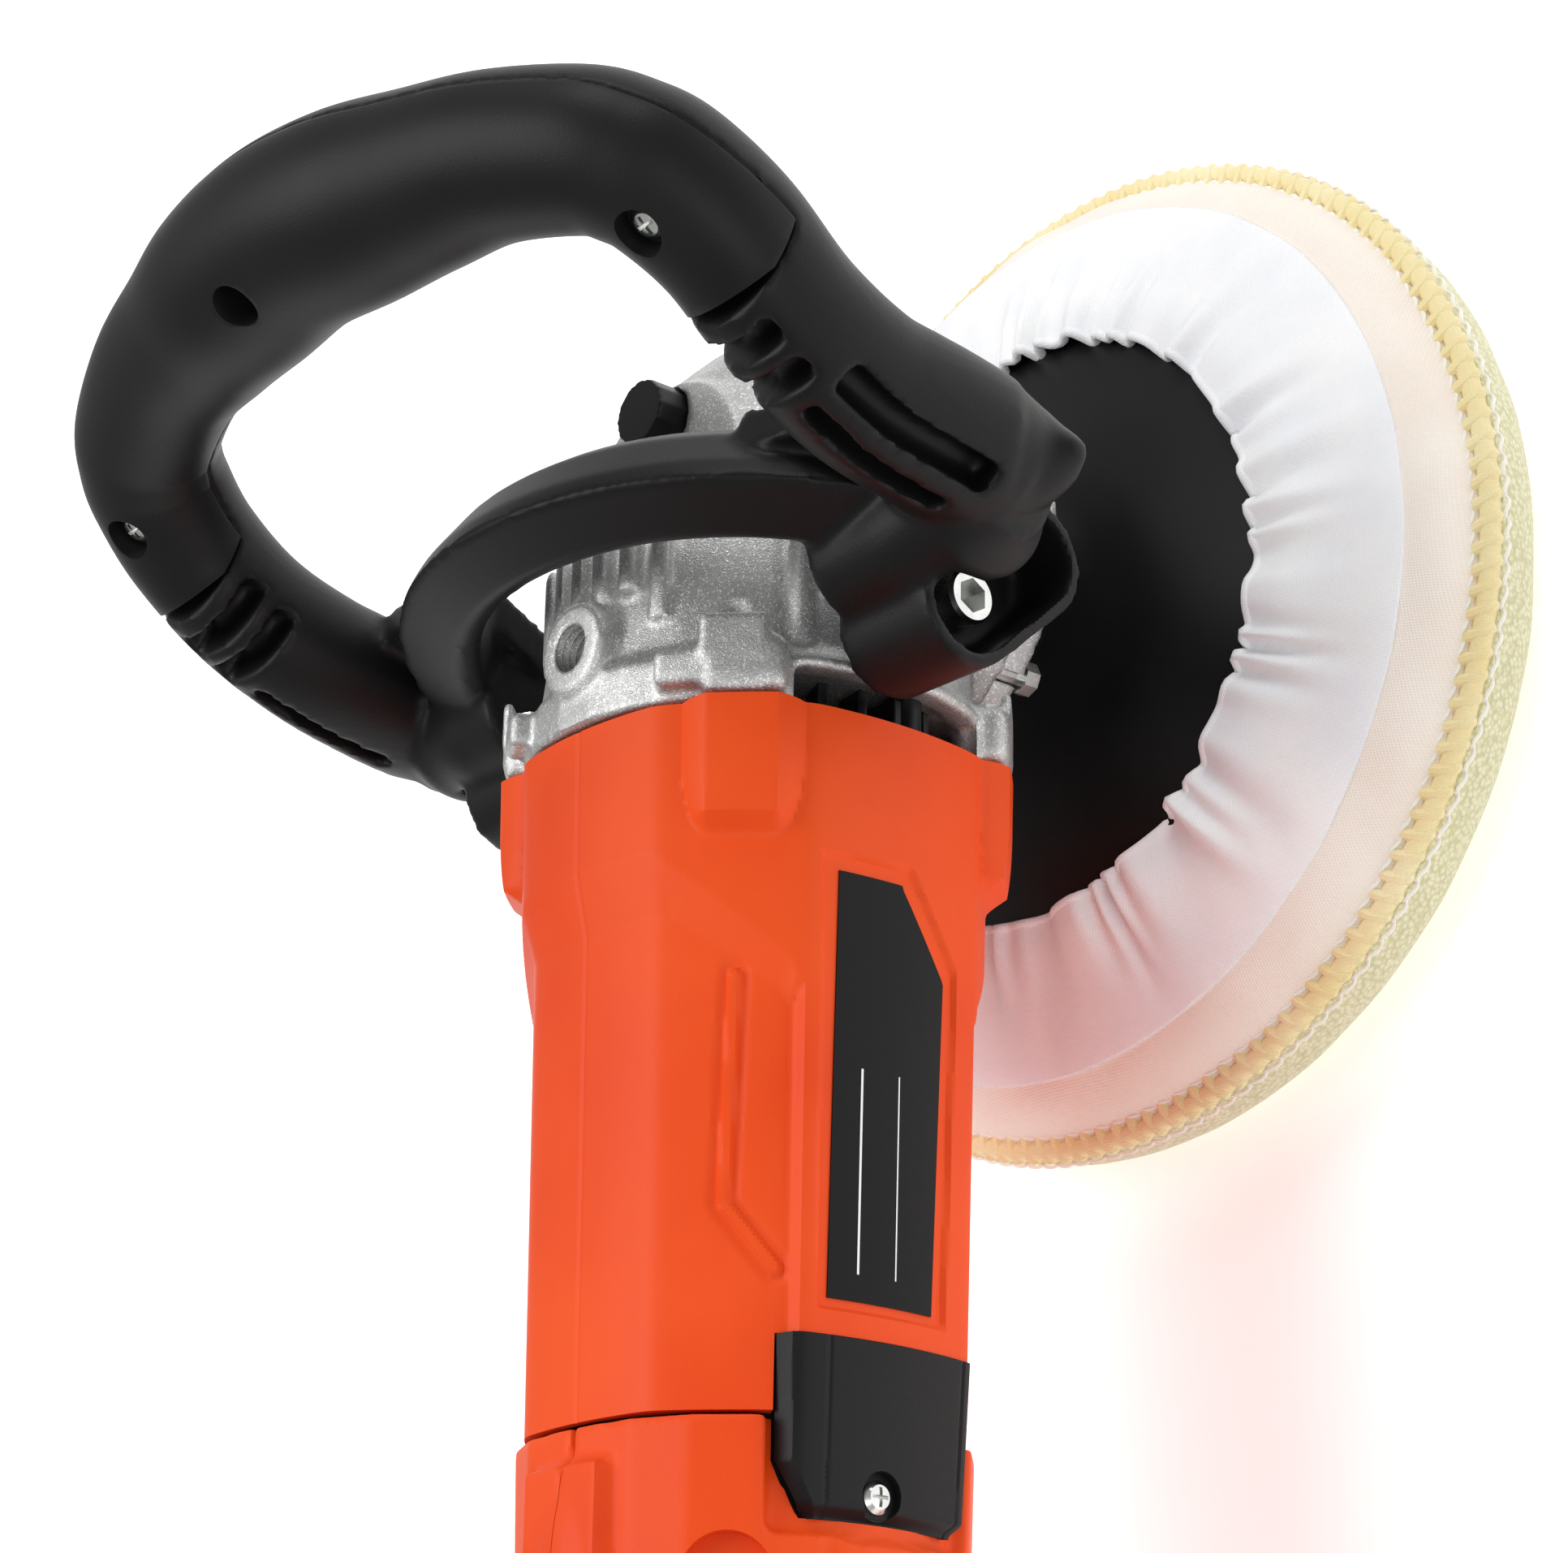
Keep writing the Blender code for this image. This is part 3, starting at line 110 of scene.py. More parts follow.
def mapped_grid(columns, rows, place):
    """A grid whose points are moved to place(u, v), with both from 0 to 1, and whose seam is closed."""
    shape = bmesh.new()
    bmesh.ops.create_grid(shape, x_segments=columns, y_segments=rows, size=0.5)
    for point in shape.verts:
        point.co = place(point.co.x + 0.5, point.co.y + 0.5)
    bmesh.ops.remove_doubles(shape, verts=shape.verts, dist=1e-6)
    bmesh.ops.recalc_face_normals(shape, faces=shape.faces)
    return shape


def close_ends(shape):
    """Fill the open ends of a tube."""
    bmesh.ops.holes_fill(shape, edges=[edge for edge in shape.edges if edge.is_boundary], sides=0)
    bmesh.ops.recalc_face_normals(shape, faces=shape.faces)
    return shape


def spun(profile, axis=(0, 0, 1), centre=(0, 0, 0), steps=96, closed=True):
    """Spin (radius, height) points round an axis through centre."""
    along = Vector(axis).normalized()
    across = Vector((0, 1, 0)) if abs(along.x) > 0.9 else Vector((1, 0, 0))
    across = (across - along * across.dot(along)).normalized()
    shape = bmesh.new()
    points = [shape.verts.new(Vector(centre) + across * radius + along * height) for radius, height in profile]
    pairs = list(zip(points, points[1:]))
    if closed:
        pairs.append((points[-1], points[0]))
    edges = [shape.edges.new(pair) for pair in pairs if (pair[0].co - pair[1].co).length > 1e-7]
    bmesh.ops.spin(shape, geom=points + edges, cent=centre, axis=along, dvec=(0, 0, 0), angle=2 * pi,
                   steps=steps, use_merge=True, use_normal_flip=False, use_duplicate=False)
    bmesh.ops.remove_doubles(shape, verts=shape.verts, dist=1e-6)
    bmesh.ops.dissolve_degenerate(shape, dist=1e-7, edges=shape.edges)
    wires = [edge for edge in shape.edges if not edge.link_faces]
    bmesh.ops.delete(shape, geom=wires, context="EDGES")
    bmesh.ops.recalc_face_normals(shape, faces=shape.faces)
    return shape


def rounded(points, radius, segments=4):
    """The points of a (radius, height) profile with its corners rounded."""
    made = []
    count = len(points)
    for number, corner in enumerate(points):
        here = Vector(corner)
        before = Vector(points[number - 1]) - here
        after = Vector(points[(number + 1) % count]) - here
        size = min(radius, before.length * 0.45, after.length * 0.45)
        if here.x < 1e-6 or size < 1e-6:
            made.append(tuple(here))
            continue
        start = here + before.normalized() * size
        end = here + after.normalized() * size
        for step in range(segments + 1):
            share = step / segments
            bend = start * (1 - share) ** 2 + here * 2 * share * (1 - share) + end * share ** 2
            made.append((max(bend.x, 0.0), bend.y))
    return made


def rod(radius, start, end, steps=32):
    """A closed cylinder between two points."""
    start = Vector(start)
    length = (Vector(end) - start).length
    return spun([(0, 0), (radius, 0), (radius, length), (0, length)], Vector(end) - start, start, steps, False)


def block(low, high, bevel=0.0):
    """A box between two corners, with rounded edges."""
    shape = bmesh.new()
    bmesh.ops.create_cube(shape, size=1.0)
    size = Vector(high) - Vector(low)
    bmesh.ops.scale(shape, vec=size, verts=shape.verts)
    bmesh.ops.translate(shape, vec=(Vector(high) + Vector(low)) / 2, verts=shape.verts)
    if bevel:
        bmesh.ops.bevel(shape, geom=shape.edges[:], offset=bevel, affect="EDGES", segments=3, profile=0.5,
                        material=-1)
    return shape


def placed(shape, matrix):
    """Move a shape by a matrix."""
    bmesh.ops.transform(shape, matrix=matrix, verts=shape.verts)
    if matrix.determinant() < 0:
        bmesh.ops.reverse_faces(shape, faces=shape.faces)
    return shape


def slab(outline, across, up, centre, depth):
    """Extrude a flat outline, given along across and up, both ways from centre."""
    normal = Vector(across).cross(Vector(up)).normalized()
    shape = bmesh.new()
    base = [shape.verts.new(Vector(centre) + Vector(across) * u + Vector(up) * v - normal * depth / 2)
            for u, v in outline]
    face = shape.faces.new(base)
    pushed = bmesh.ops.extrude_face_region(shape, geom=[face])["geom"]
    moved = [part for part in pushed if isinstance(part, bmesh.types.BMVert)]
    bmesh.ops.translate(shape, vec=normal * depth, verts=moved)
    bmesh.ops.recalc_face_normals(shape, faces=shape.faces)
    return shape


def stadium(half_length, radius, steps=8):
    """A slot's outline: a straight run along u with round ends."""
    points = []
    for end, start in ((half_length, -pi / 2), (-half_length, pi / 2)):
        for step in range(steps + 1):
            angle = start + pi * step / steps
            points.append((end + radius * cos(angle), radius * sin(angle)))
    return points


def scratch_object(shapes):
    """A hidden object that holds several shapes."""
    mesh = bpy.data.meshes.new("scratch")
    whole = bmesh.new()
    for shape in shapes:
        part = bpy.data.meshes.new("part")
        shape.to_mesh(part)
        whole.from_mesh(part)
        bpy.data.meshes.remove(part)
    whole.to_mesh(mesh)
    whole.free()
    made = bpy.data.objects.new("scratch", mesh)
    bpy.context.scene.collection.objects.link(made)
    made.hide_render = True
    return made


def settled(holder):
    """Turn an object's modifiers into its mesh."""
    graph = bpy.context.evaluated_depsgraph_get()
    graph.update()
    mesh = bpy.data.meshes.new_from_object(holder.evaluated_get(graph))
    holder.modifiers.clear()
    holder.data = mesh
    return holder


def fuse(holder, voxel, smoothing):
    """Melt a holder's shapes into one skin and soften its edges."""
    melt = holder.modifiers.new("melt", "REMESH")
    melt.mode = "VOXEL"
    melt.voxel_size = voxel
    if smoothing:
        soften = holder.modifiers.new("soften", "SMOOTH")
        soften.factor = 0.5
        soften.iterations = smoothing
    return settled(holder)


def carve(holder, shapes, operation="DIFFERENCE"):
    """Cut shapes out of a holder, or keep what they share."""
    for shape in shapes:
        tool = scratch_object([shape])
        change = holder.modifiers.new("carve", "BOOLEAN")
        change.solver = "MANIFOLD"
        change.operation = operation
        change.object = tool
        settled(holder)
        bpy.data.objects.remove(tool)


def moulded(solids, cuts, voxel, smoothing=3, keeps=()):
    """One moulded body: solids melted together, cuts taken out, and every edge softened."""
    holder = fuse(scratch_object(solids), voxel, 0)
    carve(holder, cuts)
    carve(holder, keeps, "INTERSECT")
    return fuse(holder, voxel, smoothing)


def to_piece(name, shape, surface, body, nodes=(), sharp=40):
    """Make a shape, or a holder's mesh, a finished piece that rides on a body."""
    if isinstance(shape, bpy.types.Object):
        made = shape
        made.name = name
        made.data.name = name
        made.hide_render = False
    else:
        mesh = bpy.data.meshes.new(name)
        shape.to_mesh(mesh)
        shape.free()
        made = bpy.data.objects.new(name, mesh)
        bpy.context.scene.collection.objects.link(made)
    made.data.materials.clear()
    made.data.materials.append(surface)
    made.data.shade_smooth()
    if sharp:
        made.data.set_sharp_from_angle(angle=radians(sharp))
    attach(made, body)
    if nodes:
        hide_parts(*nodes)
    return made


# ---- materials ----
def linear(code):
    """A hex colour in linear light."""
    values = [int(code[place:place + 2], 16) / 255 for place in (1, 3, 5)]
    return tuple(v / 12.92 if v <= 0.04045 else ((v + 0.055) / 1.055) ** 2.4 for v in values) + (1.0,)


def add_node(tree, kind, settings=None, links=None):
    """Add a node with its settings and its input links."""
    made = tree.nodes.new(kind)
    for name, value in (settings or {}).items():
        if name in made.inputs:
            made.inputs[name].default_value = value
        else:
            setattr(made, name, value)
    for name, source in (links or {}).items():
        tree.links.new(source, made.inputs[name])
    return made


def new_surface(name, **shader_values):
    """A material, its node tree and its shader."""
    made = bpy.data.materials.new(name)
    made.use_nodes = True
    tree = made.node_tree
    shader = tree.nodes["Principled BSDF"]
    for label, value in shader_values.items():
        shader.inputs[label.replace("_", " ")].default_value = value
    return made, tree, shader


def tint(tree, factor, low, high):
    """Mix two hex colours by a factor output."""
    mixed = add_node(tree, "ShaderNodeMix", {"data_type": "RGBA"})
    mixed.inputs[6].default_value = linear(low)
    mixed.inputs[7].default_value = linear(high)
    tree.links.new(factor, mixed.inputs[0])
    return mixed.outputs[2]


def grain(tree, size, detail=2.0, roughness=0.5):
    """Noise whose cells are size metres across, in Object coordinates."""
    place = add_node(tree, "ShaderNodeTexCoord").outputs["Object"]
    made = add_node(tree, "ShaderNodeTexNoise", {"Scale": 1.0 / size, "Detail": detail, "Roughness": roughness},
                    {"Vector": place})
    return made.outputs["Fac"]


def spread(tree, source, low, high, to_low=0.0, to_high=1.0):
    """Stretch a value's range."""
    made = add_node(tree, "ShaderNodeMapRange", links={"Value": source})
    for place, value in zip((1, 2, 3, 4), (low, high, to_low, to_high)):
        made.inputs[place].default_value = value
    return made.outputs[0]


def relief(tree, height, distance, strength, after=None):
    """A bump from a height output."""
    links = {"Height": height}
    if after:
        links["Normal"] = after
    settings = {"Distance": distance, "Strength": strength}
    return add_node(tree, "ShaderNodeBump", settings, links).outputs["Normal"]


def moulded_nylon(name, low, high, roughness, erosion=0.00045, depth=0.00006):
    """Glass-filled nylon from a spark-eroded mould: a fine even texture that breaks up the gloss."""
    made, tree, shader = new_surface(name, IOR=1.53, Specular_IOR_Level=0.2)
    cloud = grain(tree, 0.045, 3.0)
    tree.links.new(tint(tree, spread(tree, cloud, 0.35, 0.65), low, high), shader.inputs["Base Color"])
    fine = grain(tree, erosion, 2.0)
    rubbed = spread(tree, cloud, 0.3, 0.7, roughness - 0.04, roughness + 0.05)
    tree.links.new(rubbed, shader.inputs["Roughness"])
    tree.links.new(relief(tree, fine, depth, 0.6), shader.inputs["Normal"])
    return made


def cast_aluminium():
    """Die-cast aluminium, shot-blasted: grey, with bright flecks painted into the colour as glints of blasted
    facets.
    """
    made, tree, shader = new_surface("cast_aluminium_shot_blasted", Metallic=1.0)
    place = add_node(tree, "ShaderNodeTexCoord").outputs["Object"]
    fleck = add_node(tree, "ShaderNodeTexVoronoi", {"Scale": 1.0 / 0.00028, "feature": "F1"}, {"Vector": place})
    cloud = grain(tree, 0.012, 4.0)
    brightness = spread(tree, cloud, 0.3, 0.7)
    base = tint(tree, brightness, "#b2b2b1", "#cfcfce")
    # painted glints: random cells are lightened towards #f0f0ee in the base colour, not only where light falls
    mixed = add_node(tree, "ShaderNodeMix", {"data_type": "RGBA"})
    tree.links.new(base, mixed.inputs[6])
    mixed.inputs[7].default_value = linear("#f0f0ee")
    parts = add_node(tree, "ShaderNodeSeparateColor", links={"Color": fleck.outputs["Color"]})
    tree.links.new(spread(tree, parts.outputs[0], 0.80, 0.97), mixed.inputs[0])
    tree.links.new(mixed.outputs[2], shader.inputs["Base Color"])
    tree.links.new(spread(tree, parts.outputs[1], 0.0, 1.0, 0.46, 0.64), shader.inputs["Roughness"])
    pits = relief(tree, fleck.outputs["Distance"], 0.00012, 0.45)
    rough = relief(tree, grain(tree, 0.0009, 3.0), 0.00012, 0.4, pits)
    tree.links.new(rough, shader.inputs["Normal"])
    return made


def turned_metal(name, low, high, roughness, line=0.0004):
    """Machined metal: bright, with fine turning lines."""
    made, tree, shader = new_surface(name, Metallic=1.0)
    cloud = grain(tree, 0.004, 3.0)
    tree.links.new(tint(tree, spread(tree, cloud, 0.3, 0.7), low, high), shader.inputs["Base Color"])
    rubbed = spread(tree, cloud, 0.3, 0.7, roughness - 0.05, roughness + 0.07)
    tree.links.new(rubbed, shader.inputs["Roughness"])
    tree.links.new(relief(tree, grain(tree, line, 1.0), 0.00002, 0.5), shader.inputs["Normal"])
    return made


ORANGE = moulded_nylon("orange_glass_filled_nylon", "#e4460f", "#ec5118", 0.48)
BLACK = moulded_nylon("black_glass_filled_nylon", "#0d0d0e", "#131315", 0.46)
SMOOTH_BLACK = moulded_nylon("black_polyamide_smooth", "#0b0b0c", "#101012", 0.36, 0.0008, 0.00002)
CAST = cast_aluminium()
STEEL = turned_metal("ground_steel", "#9a9a9c", "#b8b8ba", 0.28)
ZINC = turned_metal("bright_zinc_plated_steel", "#c9cbc9", "#e6e8e4", 0.24)
LAMINATION = turned_metal("lamination_steel", "#4a4a4e", "#66666a", 0.5, 0.0005)
COPPER = turned_metal("enamelled_copper_wire", "#a8623a", "#c98352", 0.35, 0.0006)
BRASS = turned_metal("stamped_brass", "#b08d45", "#cfae62", 0.33)
CARBON = moulded_nylon("pressed_carbon", "#19191a", "#232324", 0.65)
RUBBER = moulded_nylon("black_rubber", "#151516", "#1d1d1e", 0.62)
FOAM = moulded_nylon("open_cell_foam", "#e4e1d8", "#f1efe9", 0.9, 0.0011, 0.0004)
SLOT_SURFACES = {
    "orange_nylon": ORANGE, "black_nylon": BLACK, "cast_aluminium": CAST, "steel": STEEL, "bright_zinc": ZINC,
    "lamination_steel": LAMINATION, "copper": COPPER, "brass": BRASS, "carbon": CARBON, "black_rubber": RUBBER,
    "white_foam": FOAM,
}


def finish_frame_nodes():
    """Give every node of the frame that still shows its own surface."""
    slots = {row["node"]: row["material_slot"] for row in frame["record"]["subparts"]}
    for name, node in NODES.items():
        surface = SLOT_SURFACES.get(slots.get(name))
        if surface and not node.hide_render:
            node.data.materials.clear()
            node.data.materials.append(surface)


# ---- camera, floor and light ----
CAMERA_PLACE = Vector((-0.2825, -0.4825, 0.5001))
CAMERA_RIGHT = Vector((0.01402, -0.64447, -0.76450))
CAMERA_UP = Vector((0.93621, -0.26005, 0.23639))
CAMERA_LENS = 83.53


def make_stage():
    """Camera, pale floor and soft studio light."""
    scene = bpy.context.scene
    lens = bpy.data.cameras.new("camera")
    lens.lens = CAMERA_LENS
    lens.sensor_width = 36.0
    camera = bpy.data.objects.new("camera", lens)
    right = CAMERA_RIGHT.normalized()
    up = (CAMERA_UP - right * CAMERA_UP.dot(right)).normalized()
    turn = Matrix((right, up, right.cross(up))).transposed().to_4x4()
    camera.matrix_world = Matrix.Translation(CAMERA_PLACE) @ turn
    scene.collection.objects.link(camera)
    scene.camera = camera

    floor_surface, tree, shader = new_surface("back_lit_white_acrylic", Roughness=0.9, Emission_Strength=0.4)
    shade = tint(tree, spread(tree, grain(tree, 0.4), 0.3, 0.7), "#fbfbfb", "#ffffff")
    tree.links.new(shade, shader.inputs["Base Color"])
    tree.links.new(shade, shader.inputs["Emission Color"])
    floor = to_stage("floor", mapped_grid(1, 1, lambda u, v: Vector((u * 16 - 8, v * 16 - 8, -0.0004))))
    floor.data.materials.append(floor_surface)

    scene.view_settings.view_transform = "Standard"
    world = scene.world or bpy.data.worlds.new("world")
    scene.world = world
    world.use_nodes = True
    background = world.node_tree.nodes["Background"]
    background.inputs["Color"].default_value = (1.0, 1.0, 1.0, 1.0)
    background.inputs["Strength"].default_value = 0.42

    for name, place, size, power in (
            ("overhead_light", (0.1, 0.5, 1.9), 1.5, 22.0),
            ("left_light", (-0.9, -1.5, 1.1), 0.9, 7.0),
            ("back_light", (1.7, -0.6, 1.2), 1.1, 12.0)):
        light = bpy.data.lights.new(name, "AREA")
        light.shape = "DISK"
        light.size = size
        light.energy = power
        holder = bpy.data.objects.new(name, light)
        holder.location = place
        holder.rotation_euler = (Vector((-0.05, 0, 0.1)) - Vector(place)).to_track_quat("-Z", "Y").to_euler()
        scene.collection.objects.link(holder)


def to_stage(name, shape):
    """An object of the studio, not of the polisher."""
    mesh = bpy.data.meshes.new(name)
    shape.to_mesh(mesh)
    shape.free()
    made = bpy.data.objects.new(name, mesh)
    bpy.context.scene.collection.objects.link(made)
    return made


make_stage()
# ---- loop handle ----
LEAN = radians(14.0)
LOOP_UP = Vector((sin(LEAN), 0.0, cos(LEAN)))
LOOP_OUT = Vector((cos(LEAN), 0.0, -sin(LEAN)))
LOOP_FOOT = Vector((-0.020, 0.0, AXIS_Z))
LOOP_SEAM = 0.0745
LOOP_KNOTS = [
    (0.0, 0.1136, 0.0172, 0.0173), (0.0180, 0.1121, 0.0166, 0.0172), (0.0340, 0.1094, 0.0162, 0.0157),
    (0.0507, 0.1062, 0.0153, 0.0143), (0.0674, 0.0997, 0.0130, 0.0137), (0.0740, 0.0945, 0.0110, 0.0136),
    (0.0778, 0.0889, 0.0088, 0.0136), (0.0811, 0.0777, 0.0038, 0.0133), (0.0808, 0.0620, -0.0025, 0.0132),
    (0.0798, 0.0439, -0.0050, 0.0137), (0.0802, 0.0245, -0.0035, 0.0138), (0.0806, 0.0150, -0.0028, 0.0125),
]   # across, up, forward of the leaning plane, and radius, from the middle of the grip to a foot


def loop_point(y, up, out=0.0):
    """A place in the loop's leaning plane."""
    return LOOP_FOOT + Vector((0, y, 0)) + LOOP_UP * up + LOOP_OUT * out


def smooth_path(points, steps):
    """A rounded path through points, with steps between each pair."""
    made = []
    for number in range(len(points) - 1):
        before = points[max(number - 1, 0)]
        start = points[number]
        end = points[number + 1]
        after = points[min(number + 2, len(points) - 1)]
        for step in range(steps):
            t = step / steps
            made.append(tuple(
                0.5 * (q * 2 + (r - p) * t + (p * 2 - q * 5 + r * 4 - s) * t ** 2
                       + (q * 3 - p - r * 3 + s) * t ** 3)
                for p, q, r, s in zip(before, start, end, after)))
    made.append(tuple(points[-1]))
    return made


LOOP_PATH = smooth_path([(-y, up, out, reach) for y, up, out, reach in LOOP_KNOTS[:0:-1]] + LOOP_KNOTS, 10)
GRIP_OUT = (LOOP_OUT - LOOP_UP * 0.36).normalized()


def grip_lean(up):
    """How far forward the grip's parting face is at a height."""
    return 0.0030 + 0.36 * (up - LOOP_SEAM)


def tube_skin(path, start, end, inset, columns):
    """A closed tube, or a part of one between two angles, along (across, up, out, radius) points."""
    whole = abs(end - start) >= 360.0
    places = [loop_point(y, up, out) for y, up, out, reach in path]

    def place(u, v):
        number = min(int(round(u * (len(path) - 1))), len(path) - 1)
        tangent = (places[min(number + 1, len(path) - 1)] - places[max(number - 1, 0)]).normalized()
        front = (GRIP_OUT if path[number][1] > LOOP_SEAM - 0.004 else LOOP_OUT)
        side = tangent.cross(front).normalized()
        front = side.cross(tangent)
        turn = radians(start + (end - start) * v)
        reach = path[number][3]
        near_edge = min(abs(turn - radians(start)), abs(turn - radians(end)))
        lip = 0.0 if whole else inset * (1.0 - ramp(near_edge * reach, 0.0, 0.0008))
        return places[number] + (side * sin(turn) - front * cos(turn)) * (reach - lip)

    return close_ends(mapped_grid(len(path) - 1, columns, place))


def loop_skin(low, start, end, inset, columns):
    """The part of the loop over a height."""
    return tube_skin([knot for knot in LOOP_PATH if knot[1] >= low], start, end, inset, columns)


def loop_half(side):
    """One arm, from the seam to its foot."""
    path = [knot for knot in LOOP_PATH if knot[0] * side > 0 and knot[1] <= LOOP_SEAM + 0.003]
    path.sort(key=lambda knot: -knot[1])
    return tube_skin(path, 0, 360, 0.0, 72)


def rear_room(low, gap):
    """A wide block behind the grip's parting face, over a height."""
    outline = [(-0.060, low), (grip_lean(low) + gap, low), (grip_lean(0.165) + gap, 0.165), (-0.060, 0.165)]
    return slab(outline, LOOP_OUT, LOOP_UP, LOOP_FOOT, 0.300)


BOW_SECTION = [(-0.0248, 0.0538), (-0.0190, 0.0650), (-0.0150, 0.0632), (-0.0070, 0.0572), (-0.0035, 0.0520),
               (-0.0070, 0.0482), (-0.0180, 0.0490), (-0.0232, 0.0500)]


def bow():
    """The band over the gear case, whose outside slopes down to the front."""
    section = BOW_SECTION

    def place(u, v):
        angle = -78.0 + 156.0 * u
        share = (v * len(section)) % len(section)
        first = int(share) % len(section)
        x, radius = Vector(section[first]).lerp(Vector(section[(first + 1) % len(section)]), share - int(share))
        lift = 1.0 + 0.10 * (abs(angle) / 64.0) ** 2
        drop = 0.0030 * (abs(angle) / 64.0) ** 3
        return on_axis(x - drop, angle, radius * lift)

    return close_ends(mapped_grid(72, len(section) * 4, place))


BOSS_TOP = Vector((-0.0372, 0.0, AXIS_Z + 0.0078))
BOSS_LOW = Vector((-0.0245, 0.0, AXIS_Z - 0.0065))


def boss_slab(side, radius, inner, outer):
    """The stadium-shaped side boss, or its recess."""
    middle = (BOSS_TOP + BOSS_LOW) / 2 + Vector((0, side * (inner + outer) / 2, 0))
    along = (BOSS_TOP - BOSS_LOW).normalized()
    across = Vector((along.z, 0, -along.x))
    return slab(stadium((BOSS_TOP - BOSS_LOW).length / 2, radius, 16), along, across, middle, outer - inner)


ARM_END = [(0.0798, 0.0439, -0.0050, 0.0137), (0.0802, 0.0330, -0.0042, 0.0140),
           (0.0812, 0.0235, -0.0034, 0.0136), (0.0834, 0.0165, -0.0026, 0.0122),
           (0.0866, 0.0128, -0.0020, 0.0096), (0.0900, 0.0108, -0.0018, 0.0066),
           (0.0930, 0.0099, -0.0016, 0.0036), (0.0952, 0.0096, -0.0016, 0.0012)]


def arm_foot(side):
    """The pointed outer end of an arm, and the beam that ties it to the bow and the boss."""
    sections = [(0.046, -0.0270, 0.0130, 0.0120, 0.0155), (0.060, -0.0262, 0.0132, 0.0125, 0.0150),
                (0.074, -0.0232, 0.0140, 0.0132, 0.0140), (0.083, -0.0215, 0.0150, 0.0110, 0.0105)]

    def place(u, v):
        y = 0.046 + (0.083 - 0.046) * u
        values = [between([(row[0], row[column]) for row in sections], y) for column in range(1, 5)]
        turn = 2 * pi * v
        return Vector((values[0] + values[2] * cos(turn), side * y, AXIS_Z + values[1] + values[3] * sin(turn)))

    return close_ends(mapped_grid(40, 48, place))


def arm_tip(side):
    """The end of an arm, which bends outwards to a point."""
    path = smooth_path([(side * y, up, out, reach) for y, up, out, reach in ARM_END], 6)
    return tube_skin(path, 0, 360, 0.0, 64)


def arm_web(side):
    """The flat web in the corner between the arm and the bow."""
    points = [(0.044, 0.044), (0.070, 0.040), (0.078, 0.020), (0.062, 0.004), (0.046, 0.014), (0.040, 0.034)]
    outline = [(side * y, up) for y, up in points]
    centre = LOOP_FOOT + LOOP_OUT * 0.0010
    return slab(outline, Vector((0, 1, 0)), LOOP_UP, centre, 0.0085)


def arm_slot(points, half_width, depth):
    """A rounded slot sunk square to an arm's skin along (place, outward) pairs."""
    def place(u, v):
        spot = u * (len(points) - 1)
        number = min(int(spot), len(points) - 2)
        here = points[number][0].lerp(points[number + 1][0], spot - number)
        outward = points[number][1].lerp(points[number + 1][1], spot - number).normalized()
        along = (points[number + 1][0] - points[number][0]).normalized()
        across = outward.cross(along).normalized()
        outline = stadium(depth / 2, half_width, 5)
        reach, width = outline[int(round(v * len(outline))) % len(outline)]
        return here + outward * (reach + 0.004 - depth / 2 + half_width) + across * width

    return close_ends(mapped_grid(24, 12, place))


def on_arm(side, up, turn):
    """A place on an arm's skin and its outward direction; turn is from the back towards the inside."""
    low = min(LOOP_PATH, key=lambda knot: abs(knot[1] - up) + (1.0 if knot[0] * side < 0 else 0.0))
    outward = (Vector((0, -side, 0)) * sin(radians(turn)) - LOOP_OUT * cos(radians(turn))).normalized()
    return loop_point(low[0], up, low[2]) + outward * low[3], outward


def surface_slots(side):
    """The four slots of one arm: two short ones across it and two long ones down it."""
    made = []
    for up in (0.0690, 0.0615):
        made.append(arm_slot([on_arm(side, up - 0.0006 * abs(turn) / 60, turn) for turn in range(-30, 76, 15)],
                             0.0023, 0.0100))
    made.append(arm_slot([on_arm(side, 0.0550 - 0.0330 * step / 8, -44 + 4 * step / 8) for step in range(9)],
                         0.0028, 0.0105))
    made.append(arm_slot([on_arm(side, 0.0555 - 0.0310 * step / 8, -6 + 6 * step / 8) for step in range(9)],
                         0.0019, 0.0100))
    return made


GRIP_SCREWS = [(-0.0782, 0.0878), (0.0782, 0.0878), (0.0034, 0.1123)]


